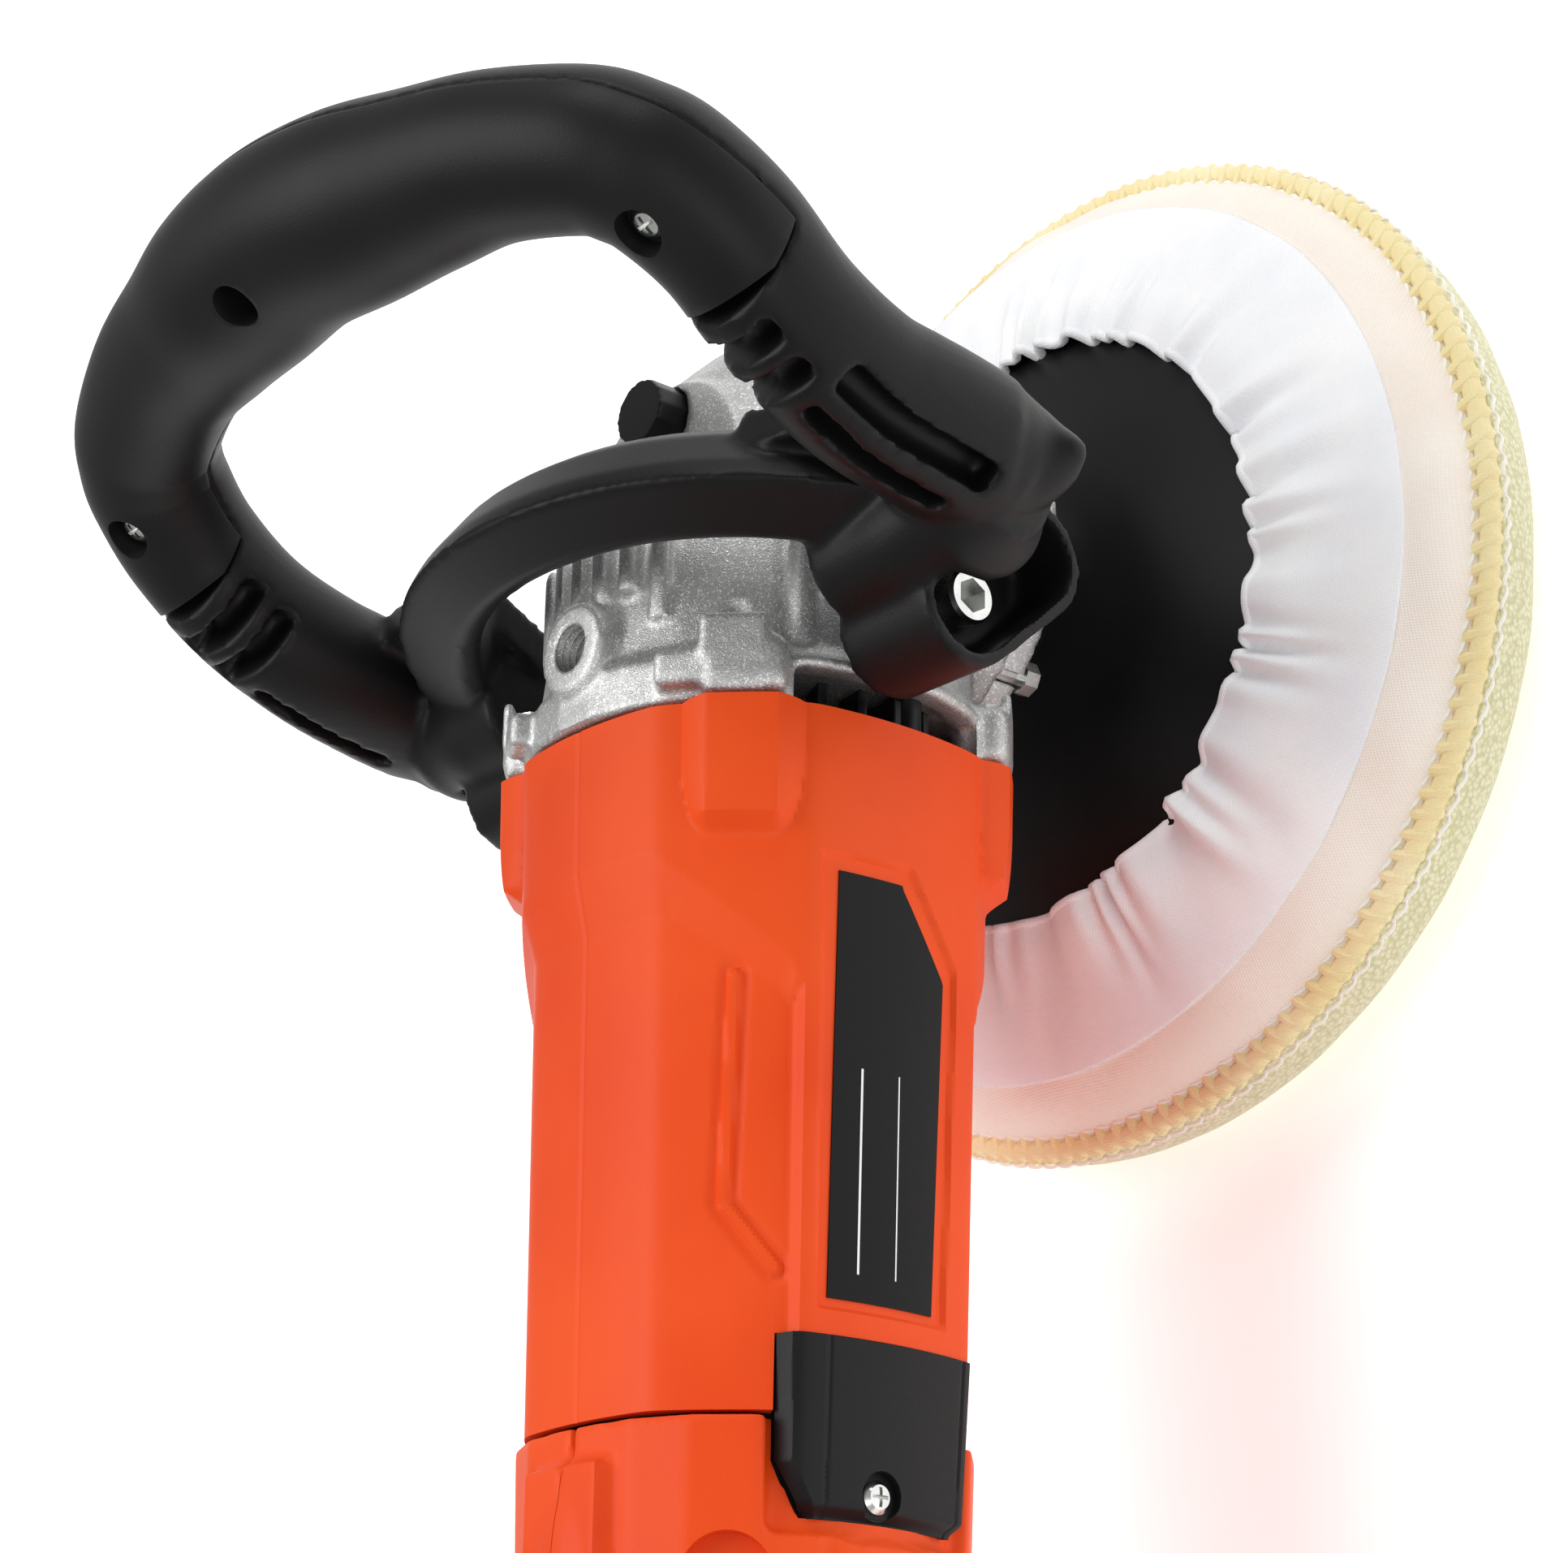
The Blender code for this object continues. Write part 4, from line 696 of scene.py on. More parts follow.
def make_loop_handle():
    """Frame with arms, bow and bosses, and the grip's cover."""
    solids = [loop_skin(LOOP_SEAM - 0.002, 0, 360, 0.0, 72), bow()] + [loop_half(side) for side in (-1, 1)]
    for side in (-1, 1):
        solids += [arm_foot(side), arm_tip(side), arm_web(side), boss_slab(side, 0.0112, 0.0440, 0.0668)]
    cuts = [rear_room(LOOP_SEAM, 0.0001)]
    for side in (-1, 1):
        cuts.append(boss_slab(side, 0.0090, 0.0525, 0.0720))
        cuts += surface_slots(side)
    cuts.append(rod(0.0442, (-0.060, 0, AXIS_Z), (0.030, 0, AXIS_Z), 96))
    holder = moulded(solids, cuts, 0.0009, 2)
    to_piece("loop_handle_frame", holder, BLACK, "tool_body", ["loop_handle"], 50)

    cover = scratch_object([loop_skin(LOOP_SEAM - 0.004, 0, 360, 0.0, 96)])
    carve(cover, [rear_room(LOOP_SEAM + 0.0003, -0.0002)], "INTERSECT")
    holes = []
    for y, up in GRIP_SCREWS:
        foot = loop_point(y, up, grip_lean(up)) - GRIP_OUT * 0.0085
        holes.append(rod(0.0043, foot, foot - GRIP_OUT * 0.020, 40))
    carve(cover, holes)
    edges = cover.modifiers.new("edges", "BEVEL")
    edges.width = 0.0004
    edges.segments = 2
    edges.limit_method = "ANGLE"
    edges.angle_limit = radians(45)
    settled(cover)
    to_piece("grip_rear_cover", cover, BLACK, "tool_body", ["grip_cover"], 35)


# ---- motor housing ----
BODY_CORNERS = (-26.0, 26.0, 63.0, 117.0, 154.0, 206.0, 243.0, 297.0, 334.0)


def faceted(angle, sharpness=50.0):
    """How far a softly faceted body reaches at an angle from the top, as a share of its corner radius."""
    angle %= 360.0
    total = 0.0
    for start, end in zip(BODY_CORNERS, BODY_CORNERS[1:]):
        off = (angle - (start + end) / 2 + 180.0) % 360.0 - 180.0
        total += max(cos(radians(off)) / cos(radians((end - start) / 2)), 0.01) ** sharpness
    return 1.02 * (0.45 + 0.55 * total ** (-1.0 / sharpness))


def line(points, value):
    """A straight-sided line through (value, result) points."""
    if value <= points[0][0]:
        return points[0][1]
    for (low, first), (high, second) in zip(points, points[1:]):
        if value <= high:
            return first + (second - first) * (value - low) / (high - low)
    return points[-1][1]


def folded(angle):
    """An angle from the top or from the underside, whichever is nearer, from 0 to 90."""
    angle = abs((angle + 180.0) % 360.0 - 180.0)
    return min(angle, 180.0 - angle)


SHOULDER_UPPER = [(0, -0.0770), (25, -0.0770), (31, -0.0800), (45, -0.0880), (59, -0.0960), (61, -0.0995)]
SHOULDER_LOWER = [(0, -0.0880), (29, -0.0880), (43, -0.0940), (57, -0.1010), (60, -0.1040)]
ACCENT_LINE = [(-0.0987, 45.8), (-0.1378, 43.9), (-0.1486, 56.9)]


def distance_to_line(points, x, angle):
    """Distance on the skin from a line of (x, angle) points."""
    here = Vector((x, angle * 0.00072))
    best = 1.0
    for (x1, a1), (x2, a2) in zip(points, points[1:]):
        start = Vector((x1, a1 * 0.00072))
        run = Vector((x2, a2 * 0.00072)) - start
        share = min(max((here - start).dot(run) / run.length_squared, 0.0), 1.0)
        best = min(best, (here - start - run * share).length)
    return best


LABEL_ROOM = [(-0.0770, 66.4), (-0.0763, 93.0), (-0.0925, 109.5), (-0.1546, 107.5), (-0.1550, 67.1)]


def inside_by(outline, x, angle):
    """How far a place on the skin is inside an outline, or a negative distance outside it."""
    here = Vector((x, angle * 0.00072))
    inside = False
    best = 1.0
    for number, (x2, a2) in enumerate(outline):
        x1, a1 = outline[number - 1]
        start = Vector((x1, a1 * 0.00072))
        end = Vector((x2, a2 * 0.00072))
        run = end - start
        share = min(max((here - start).dot(run) / run.length_squared, 0.0), 1.0)
        best = min(best, (here - start - run * share).length)
        if (start.y > here.y) != (end.y > here.y):
            if here.x < start.x + (here.y - start.y) / (end.y - start.y) * (end.x - start.x):
                inside = not inside
    return best if inside else -best


def lug_height(x, off):
    """Height of a screw lug over the body, off degrees from its middle line."""
    run = min(max((-0.0600 - x) / 0.0145, 0.0), 1.0)
    round_off = sqrt(max(1.0 - run * run, 0.0))
    half = 8.0 + 6.2 * round_off
    flat = 7.8
    side = min(max((half - abs(off)) / max(half - flat, 0.3), 0.0), 1.0)
    end = min(max((x + 0.0745) / 0.0030, 0.0), 1.0)
    return 0.0046 * side ** 0.8 * end * (0.55 + 0.45 * round_off)


def housing_radius(x, angle):
    """Outer radius of the motor housing."""
    tight = folded(angle)
    along = (x - HOUSING_BACK) / (HOUSING_FRONT - HOUSING_BACK)
    upper = 0.0396 + 0.0029 * along
    lower = line([(HOUSING_BACK, 0.0378), (-0.0880, 0.0392), (HOUSING_FRONT, 0.0402)], x)
    start = line(SHOULDER_LOWER, tight)
    raised = min(max((x - start) / (line(SHOULDER_UPPER, tight) - start), 0.0), 1.0)
    raised = max(raised, ramp(tight, 60.2, 62.6))
    radius = (lower + (upper - lower) * raised) * faceted(angle)
    for middle in (47.0, 133.0, 227.0, 313.0):
        off = (angle - middle + 180.0) % 360.0 - 180.0
        if abs(off) < 18.0 and x > -0.0746:
            flat = 1.0 / cos(radians(min(abs(off), 7.8)))
            radius = max(radius, radius + lug_height(x, off) * flat)
    side = abs((angle + 180.0) % 360.0 - 180.0)
    if 40.0 < side < 60.0 and -0.152 < x < -0.095:
        away = distance_to_line(ACCENT_LINE, x, side)
        radius += 0.0009 * (1.0 - ramp(away, 0.0008, 0.0014)) - 0.0005 * ramp(away, 0.0032, 0.0022)
    if 60.0 < side < 120.0 and x < -0.070:
        radius -= 0.0009 * ramp(inside_by(LABEL_ROOM, x, side), -0.0003, 0.0004)
    return radius - 0.00025 * ramp(min(side, 180.0 - side), 0.5, 0.2)


def skin_tube(stations, inner, rows, radius_at):
    """A closed tube round the motor's axis, whose outside follows radius_at(x, angle)."""
    count = len(stations)

    def place(u, v):
        number = int(round(u * (count + 2)))
        angle = 360.0 * v
        if number < count:
            return on_axis(stations[number], angle, radius_at(stations[number], angle))
        if number == count:
            return on_axis(stations[-1], angle, inner)
        if number == count + 1:
            return on_axis(stations[0], angle, inner)
        return on_axis(stations[0], angle, radius_at(stations[0], angle))

    return mapped_grid(count + 2, rows, place)


def spaced(start, end, pitch):
    """Even stations between two values."""
    count = max(int(round(abs(end - start) / pitch)), 1)
    return [start + (end - start) * step / count for step in range(count + 1)]


def make_housing():
    """The motor housing with its shoulder, lugs, label room and accent rib."""
    stations = spaced(HOUSING_FRONT, -0.158, 0.0007) + spaced(-0.160, HOUSING_BACK + 0.0002, 0.0035)
    shape = skin_tube(stations, 0.0345, 420, housing_radius)
    holder = scratch_object([shape])
    carve(holder, [cover_room(side) for side in (-1, 1)])
    to_piece("housing_shell", holder, ORANGE, "tool_body", ["motor_housing"], 32)


# ---- brush covers ----
COVER_OUTLINE = [(-0.1594, 57.4), (-0.1594, 117.6), (-0.1865, 117.6), (-0.1885, 116.0), (-0.1885, 65.0),
                 (-0.1796, 57.4)]


def skin_patch(outline, side, inner, outer, grow=0.0):
    """A closed patch round the motor's axis inside an outline of (x, angle) points."""
    shape = bmesh.new()
    middle_x = sum(point[0] for point in outline) / len(outline)
    middle_a = sum(point[1] for point in outline) / len(outline)
    rim = []
    for number, (x, angle) in enumerate(outline):
        x1, a1 = outline[number - 1]
        steps = max(int(abs(angle - a1) / 3.0), int(abs(x - x1) / 0.003), 1)
        for step in range(1, steps + 1):
            share = step / steps
            px = x1 + (x - x1) * share
            pa = a1 + (angle - a1) * share
            out = Vector((px - middle_x, (pa - middle_a) * 0.00072))
            out *= 1.0 + grow / max(out.length, 1e-6)
            rim.append((middle_x + out.x, middle_a + out.y / 0.00072))
    low = [shape.verts.new(on_axis(x, side * angle, inner)) for x, angle in rim]
    high = [shape.verts.new(on_axis(x, side * angle, outer)) for x, angle in rim]
    for ring in (low, high):
        centre_radius = inner if ring is low else outer
        centre = shape.verts.new(on_axis(middle_x, side * middle_a, centre_radius))
        for number, point in enumerate(ring):
            shape.faces.new((centre, point, ring[(number + 1) % len(ring)]))
    for number in range(len(rim)):
        after = (number + 1) % len(rim)
        shape.faces.new((low[number], low[after], high[after], high[number]))
    bmesh.ops.recalc_face_normals(shape, faces=shape.faces)
    return shape


def cover_room(side):
    """The opening in the shells that a brush cover fills."""
    return skin_patch(COVER_OUTLINE, side, 0.030, 0.060, 0.0002)


def cover_radius(x, angle):
    """Outer radius of a brush cover."""
    radius = line([(-0.1900, 0.0379), (-0.1594, 0.0397)], x) * faceted(angle, 70.0) + 0.0006
    edge = line([(-0.1885, 68.5), (-0.1800, 61.5), (-0.1594, 61.0)], x)
    radius -= 0.0028 * min(max((edge - angle) / 4.0, 0.0), 1.0)
    radius -= 0.0003 * max(1.0 - abs(angle - 70.5) / 0.55, 0.0)
    radius -= 0.0004 * max(1.0 - abs(angle - 114.5) / 0.6, 0.0)
    radius -= 0.0022 * ramp(x, -0.1862, -0.1884)
    return radius


def make_brush_covers():
    """The two black covers over the brushes, with their screw holes and seats."""
    for side, name in ((1, "right"), (-1, "left")):
        def place(u, v):
            x = -0.1594 - 0.0293 * u
            low = line([(-0.1885, 65.2), (-0.1796, 57.7), (-0.1594, 57.7)], x)
            angle = low + (117.4 - low) * v
            return on_axis(x, side * angle, cover_radius(x, angle))

        shape = mapped_grid(70, 110, place)
        bmesh.ops.recalc_face_normals(shape, faces=shape.faces)
        facing = sum(face.normal.dot(face.calc_center_median() - AXIS) > 0 for face in shape.faces)
        if facing < len(shape.faces) / 2:
            bmesh.ops.reverse_faces(shape, faces=shape.faces)
        bmesh.ops.solidify(shape, geom=shape.faces[:], thickness=0.0026)
        bmesh.ops.recalc_face_normals(shape, faces=shape.faces)
        holder = scratch_object([shape])
        seat = on_axis(-0.1842, side * 87.5, 0.0355)
        carve(holder, [rod(0.0041, seat, on_axis(-0.1842, side * 87.5, 0.060), 40)])
        nodes = [f"brush_cover_{name}"]
        to_piece(f"brush_cover_{name}_shell", holder, BLACK, "tool_body", nodes, 30)
        floor = rod(0.0040, on_axis(-0.1842, side * 87.5, 0.0330), on_axis(-0.1842, side * 87.5, 0.0354), 40)
        to_piece(f"brush_cover_{name}_seat", floor, BLACK, "tool_body", [], 30)


# ---- pad and bonnet ----
STITCHES = 150
SEAM_RADIUS = 0.1015
SEAM_Z = 0.0152
HEM_RADIUS = 0.0610
SHELF_RADIUS = 0.0895


def fold(angle, radius):
    """Depth of the skirt's gathers, from -1 to 1, finer towards the hem."""
    share = ramp(radius, SHELF_RADIUS, HEM_RADIUS)
    spot = Vector((cos(angle), sin(angle), 0.0))
    long_wave = noise.noise(spot * 3.3 + Vector((4.0, 0, 0)))
    turn = angle + 0.16 * long_wave + 0.05 * noise.noise(spot * 7.0 + Vector((0, 0, radius * 22)))
    fine = sin(turn * 46 + 2.2 * noise.noise(spot * 5.0))
    coarse = sin(turn * 23 + 3.0 * noise.noise(spot * 2.4 + Vector((0, 7.0, 0))))
    mixed = fine * share * (0.55 + 0.45 * noise.noise(spot * 9.0)) + coarse * (0.35 + 0.4 * long_wave)
    return mixed


CLOTH_LINE = [(0.0610, HEM_TOP - 0.0008), (0.0680, 0.0348), (0.0760, 0.0325), (0.0840, 0.0300),
              (0.0900, 0.0276), (0.0945, 0.0246), (0.0980, 0.0208), (0.1003, 0.0162)]


def cloth_place(share):
    """The bonnet's side profile, (radius, height), from the hem at 0 to the seam at 1."""
    spot = min(max(share, 0.0), 1.0) * (len(CLOTH_LINE) - 1)
    number = min(int(spot), len(CLOTH_LINE) - 2)
    t = spot - number
    p, q, r, s = (CLOTH_LINE[min(max(number + step, 0), len(CLOTH_LINE) - 1)] for step in (-1, 0, 1, 2))
    return tuple(
        0.5 * (q[k] * 2 + (r[k] - p[k]) * t + (p[k] * 2 - q[k] * 5 + r[k] * 4 - s[k]) * t ** 2
               + (q[k] * 3 - p[k] - r[k] * 3 + s[k]) * t ** 3) for k in (0, 1))


def skirt_point(angle, share):
    """The white skirt: gathered at the hem, and smooth where it turns over the pad's edge."""
    radius, height = cloth_place(share)
    depth = 0.0021 * (1.0 - ramp(share, 0.0, 0.55)) + 0.0006 * (1.0 - ramp(share, 0.35, 0.72))
    wave = fold(angle, radius) * depth
    hem_wave = 0.0008 * noise.noise(Vector((cos(angle) * 5, sin(angle) * 5, 3.0))) * (1.0 - share)
    out = radius + wave * 0.30 + hem_wave
    return Vector((out * cos(angle), out * sin(angle), height + wave + 0.0004))


def side_point(angle, share):
    """The cream side cloth, from under the skirt's edge at 0 down to the seam at 1."""
    radius, height = cloth_place(0.52 + 0.48 * share)
    spot = Vector((cos(angle), sin(angle), 0.0))
    wave = 0.0008 * noise.noise(spot * 6.0 + Vector((0, 0, share))) * sin(pi * share)
    pull = 0.00035 * sin(angle * STITCHES) * ramp(share, 0.75, 1.0)
    out = radius + wave + pull
    return Vector((out * cos(angle), out * sin(angle), height + wave * 0.6))


def pile_point(angle, share):
    """The pile cloth: over the seam at 0, round the edge, and flat on the work from 0.3 to 1."""
    spot = Vector((cos(angle), sin(angle), 0.0))
    wave = noise.noise(spot * 7.0)
    if share < 0.3:
        turn = share / 0.3 * pi / 2
        radius = SEAM_RADIUS + 0.0012 + 0.0012 * sin(turn * 2) - 0.0065 * (1 - cos(turn)) + 0.0005 * wave
        height = (SEAM_Z - 0.0002) * (1 - sin(turn)) + 0.0001
    else:
        radius = (SEAM_RADIUS - 0.0053) * (1.0 - (share - 0.3) / 0.7)
        height = 0.0001 + 0.00002 * wave
    return Vector((radius * cos(angle), radius * sin(angle), max(height, 0.00005)))


def cloth_sheet(columns, rows, point, thickness, across=(0.0, 1.0)):
    """A closed ring of cloth with a real thickness."""
    low, high = across

    def place(u, v):
        return point(2 * pi * u, low + (high - low) * v)

    shape = mapped_grid(columns, rows, place)
    bmesh.ops.solidify(shape, geom=shape.faces[:], thickness=thickness)
    bmesh.ops.recalc_face_normals(shape, faces=shape.faces)
    return shape


def cloth_surface(name, low, high, thread, depth, roughness=0.85, sheen=0.25, weft=True):
    """Cotton cloth: a plain weave of rounded threads, with fibre sheen and uneven bleaching."""
    made, tree, shader = new_surface(
        name, Roughness=roughness, Sheen_Weight=sheen, Sheen_Roughness=0.5, IOR=1.5)
    shader.inputs["Subsurface Weight"].default_value = 0.08
    shader.inputs["Subsurface Radius"].default_value = (0.0008, 0.0006, 0.0005)
    place = add_node(tree, "ShaderNodeTexCoord").outputs["Object"]
    bleached = spread(tree, grain(tree, 0.02, 3.0), 0.3, 0.7)
    tree.links.new(tint(tree, bleached, low, high), shader.inputs["Base Color"])
    heights = []
    for direction in ("X", "Y") if weft else ("X",):
        wave = add_node(tree, "ShaderNodeTexWave", {"wave_type": "BANDS", "bands_direction": direction,
                                                    "Scale": 0.314 / thread, "Distortion": 0.6, "Detail": 2.0,
                                                    "Detail Scale": 1.5}, {"Vector": place})
        heights.append(wave.outputs["Fac"])
    bump = relief(tree, heights[0], depth, 0.5)
    if weft:
        bump = relief(tree, heights[1], depth, 0.5, bump)
    tree.links.new(relief(tree, grain(tree, 0.0004, 2.0), depth * 0.5, 0.4, bump), shader.inputs["Normal"])
    return made


def pile_surface():
    """Short cut-and-loop pile: cream-green knitted yarn with deep shade between the loops."""
    made, tree, shader = new_surface("knitted_cotton_pile", Roughness=0.95, Sheen_Weight=0.4, IOR=1.5)
    place = add_node(tree, "ShaderNodeTexCoord").outputs["Object"]
    loops = add_node(tree, "ShaderNodeTexVoronoi", {"Scale": 1.0 / 0.0011, "feature": "F1"}, {"Vector": place})
    shade = spread(tree, loops.outputs["Distance"], 0.1, 0.7)
    tree.links.new(tint(tree, shade, "#f3efcf", "#d3cfa4"), shader.inputs["Base Color"])
    bump = relief(tree, loops.outputs["Distance"], -0.0005, 0.8)
    tree.links.new(relief(tree, grain(tree, 0.0005), 0.0002, 0.6, bump), shader.inputs["Normal"])
    return made


WHITE_COTTON = cloth_surface("bleached_cotton_plain_weave", "#f4f5fa", "#ffffff", 0.00042, 0.00008)
CREAM_COTTON = cloth_surface("cream_cotton_twill", "#f6e9dd", "#fbf2e8", 0.00050, 0.00010)
STITCH_YELLOW = cloth_surface("yellow_overlock_yarn", "#f3dfa0", "#fbeec0", 0.00035, 0.00015, 0.8, 0.3, False)
STITCH_WHITE = cloth_surface("white_overlock_yarn", "#f7f4ea", "#fdfcf6", 0.00035, 0.00015, 0.8, 0.3, False)
PILE = pile_surface()


def yarn(paths, radius, steps):
    """Closed round strands along lists of points."""
    shapes = []
    for path in paths:
        count = len(path)

        def place(u, v, path=path, count=count):
            number = int(round(u * (count - 1)))
            before = path[max(number - 1, 0)]
            after = path[min(number + 1, count - 1)]
            tangent = (after - before).normalized()
            side = tangent.cross(Vector((0.13, 0.21, 0.97))).normalized()
            up = side.cross(tangent)
            turn = 2 * pi * v
            return path[number] + (side * cos(turn) + up * sin(turn)) * radius

        shapes.append(close_ends(mapped_grid(count - 1, steps, place)))
    return shapes


def joined(shapes):
    """Many shapes as one."""
    whole = bmesh.new()
    part = bpy.data.meshes.new("part")
    for shape in shapes:
        shape.to_mesh(part)
        whole.from_mesh(part)
        shape.free()
    bpy.data.meshes.remove(part)
    return whole


def seam_place(turn, out, up):
    """A place near the seam, out from its radius and up from its height."""
    radius = SEAM_RADIUS + out
    return Vector((radius * cos(turn), radius * sin(turn), SEAM_Z + up))


def make_stitching():
    """The overlocked seam: yellow loops round its edge, and a white chain along each side."""
    loops = []
    pitch = 2 * pi / STITCHES
    for number in range(STITCHES):
        start = number * pitch
        wobble = 0.10 * pitch * noise.noise(Vector((number * 0.37, 0, 0)))
        path = []
        for step in range(13):
            share = step / 12
            turn = start + wobble + pitch * (0.10 + 0.75 * share)
            bend = pi * share
            path.append(seam_place(turn, -0.0026 + 0.0041 * sin(bend) ** 0.7, 0.0022 - 0.0032 * share))
        loops.append(path)
    roll = []
    for step in range(481):
        roll.append(seam_place(2 * pi * step / 480, 0.0, 0.0006))
    strands = yarn(loops, 0.00125, 8) + yarn([roll], 0.0020, 12)
    to_piece("seam_yarn_loops", joined(strands), STITCH_YELLOW, "pad_and_spindle", ())
    chains = []
    for number in range(STITCHES):
        start = number * pitch
        for out, up, phase in ((-0.0030, 0.0030, 0.0), (0.0019, -0.0012, 0.5)):
            path = []
            for step in range(9):
                share = step / 8
                turn = start + pitch * (phase + 1.15 * share)
                sway = 0.0009 * sin(pi * share)
                path.append(seam_place(turn, out + sway, up + 0.0004 * sin(2 * pi * share)))
            chains.append(path)
    chain = joined(yarn(chains, 0.00038, 6))
    to_piece("seam_yarn_chain", chain, STITCH_WHITE, "pad_and_spindle", ())


def make_bonnet():
    """Skirt, side cloth, pile cloth, hem cord and seam."""
    skirt = to_piece("bonnet_skirt", cloth_sheet(720, 44, skirt_point, 0.0005, (0.60, 0.0)),
                     WHITE_COTTON, "pad_and_spindle", ["bonnet"], 0)
    side = to_piece("bonnet_side", cloth_sheet(720, 24, side_point, 0.0007),
                    CREAM_COTTON, "pad_and_spindle", (), 0)
    pile = to_piece("bonnet_pile", cloth_sheet(480, 50, pile_point, 0.0012),
                    PILE, "pad_and_spindle", (), 0)
    hem_path = []
    for step in range(361):
        spot = skirt_point(2 * pi * step / 360, 0.012)
        hem_path.append(spot - Vector((0, 0, 0.0006)))
    hem = to_piece("bonnet_hem", joined(yarn([hem_path], 0.0010, 10)), WHITE_COTTON, "pad_and_spindle", (),
                   0)
    make_stitching()


def make_foam():
    """The foam disc, crowned at its edge."""
    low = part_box("foam_disc")[0].z
    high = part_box("foam_disc")[1].z
    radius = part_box("foam_disc")[1].x
    profile = rounded([(0, low), (radius, low), (radius - 0.001, high), (0, high)], 0.004, 6)
    made = to_piece("foam_disc_pad", spun(profile, steps=120, closed=False), FOAM, "pad_and_spindle",
                    ["foam_disc"])


def make_backing_plate():
    """The backing plate: a satin black cone with a rounded rim and a hub."""
    rim = PLATE_LOW + 0.0070
    under_hem = HEM_TOP - 0.0030
    profile = [(0.0, PLATE_LOW), (PLATE_RADIUS, PLATE_LOW), (PLATE_RADIUS, rim), (0.0610, under_hem),
               (0.0260, PLATE_HIGH - 0.0100), (0.0170, PLATE_HIGH - 0.0060), (0.0153, PLATE_HIGH),
               (0.0072, PLATE_HIGH), (0.0072, PLATE_LOW + 0.004), (0.0, PLATE_LOW + 0.004)]
    shape = spun(rounded(profile, 0.0016, 5), steps=160, closed=False)
    to_piece("backing_plate_cone", shape, PLATE_BLACK, "pad_and_spindle", ["backing_plate"], 30)


PLATE_BLACK = moulded_nylon("black_polyurethane_satin", "#0d0d0e", "#131314", 0.38, 0.0006, 0.00002)


# ---- bodies whose cast or moulded skin follows the frame ----
def frame_copy(node):
    """A merged copy of a frame node's mesh."""
    shape = bmesh.new()
    shape.from_mesh(NODES[node].data)
    bmesh.ops.remove_doubles(shape, verts=shape.verts, dist=1e-6)
    return shape


def turned_box(angle, x_low, x_high, half, inner, outer, bevel):
    """A rounded block standing out from the motor's axis at an angle."""
    shape = block((x_low, -half, inner), (x_high, half, outer), bevel)
    turn = Matrix.Rotation(radians(angle), 4, "X")
    return placed(shape, Matrix.Translation(AXIS) @ turn)


SIDE_HOLE_X = -0.0351


def make_gear_case():
    """The cast gear case: cooling ribs, side-handle boss with its thread, lugs and their small blocks."""
    solids = [frame_copy("gear_case")]
    for number in range(6):
        angle = -24.0 + 9.6 * number
        end = -0.0262 if abs(angle) < 16 else -0.0325
        solids.append(turned_box(angle, end, -0.0135, 0.0019, 0.0280, 0.0408, 0.0007))
    for angle in (32.5, -29.0, 147.5, 209.0):
        solids.append(turned_box(angle, -0.0478, -0.0412, 0.0046, 0.0370, 0.0462, 0.0012))
    for angle in (47.0, 133.0, 227.0, 313.0):
        solids.append(turned_box(angle, -0.0499, -0.0382, 0.0078, 0.0360, 0.0466, 0.0030))
    boss = (SIDE_HOLE_X, 0, AXIS_Z)
    solids.append(rod(0.0086, (SIDE_HOLE_X, 0, AXIS_Z + 0.030), (SIDE_HOLE_X, 0, AXIS_Z + 0.0438), 48))
    solids.append(turned_box(62.0, -0.0400, -0.0060, 0.0022, 0.0300, 0.0408, 0.0012))
    solids.append(turned_box(-62.0, -0.0400, -0.0060, 0.0022, 0.0300, 0.0408, 0.0012))
    for angle in (45.0, 135.0, 225.0, 315.0):
        solids.append(turned_box(angle, -0.0440, -0.0352, 0.0062, 0.0448, 0.0467, 0.0007))
    holder = fuse(scratch_object(solids), 0.00085, 2)
    thread = [(0.0, 0.0290)]
    for turn in range(11):
        height = 0.0300 + 0.00150 * turn
        thread += [(0.0044, height), (0.0052, height + 0.00075)]
    thread += [(0.0048, 0.0470), (0.0, 0.0470)]
    carve(holder, [spun(thread, (0, 0, 1), boss, 48, False)])
    to_piece("gear_case_casting", holder, CAST, "tool_body", ["gear_case"], 45)


def make_exhaust_parts():
    """The black baffle and the fins seen through the exhaust windows."""
    for side, name in ((1, "right"), (-1, "left")):
        fins = []
        for angle in (68.0, 80.0, 92.0, 104.0):
            fins.append(turned_box(side * angle, -0.0500, -0.0440, 0.0009, 0.0300, 0.0372, 0.0003))
        ends = [on_axis(x, side * 98.0, 0.0352) for x in (-0.0505, -0.0420)]
        fins.append(rod(0.0030, ends[0], ends[1], 24))
        to_piece(f"exhaust_fins_{name}", joined(fins), SMOOTH_BLACK, "tool_body", (), 30)


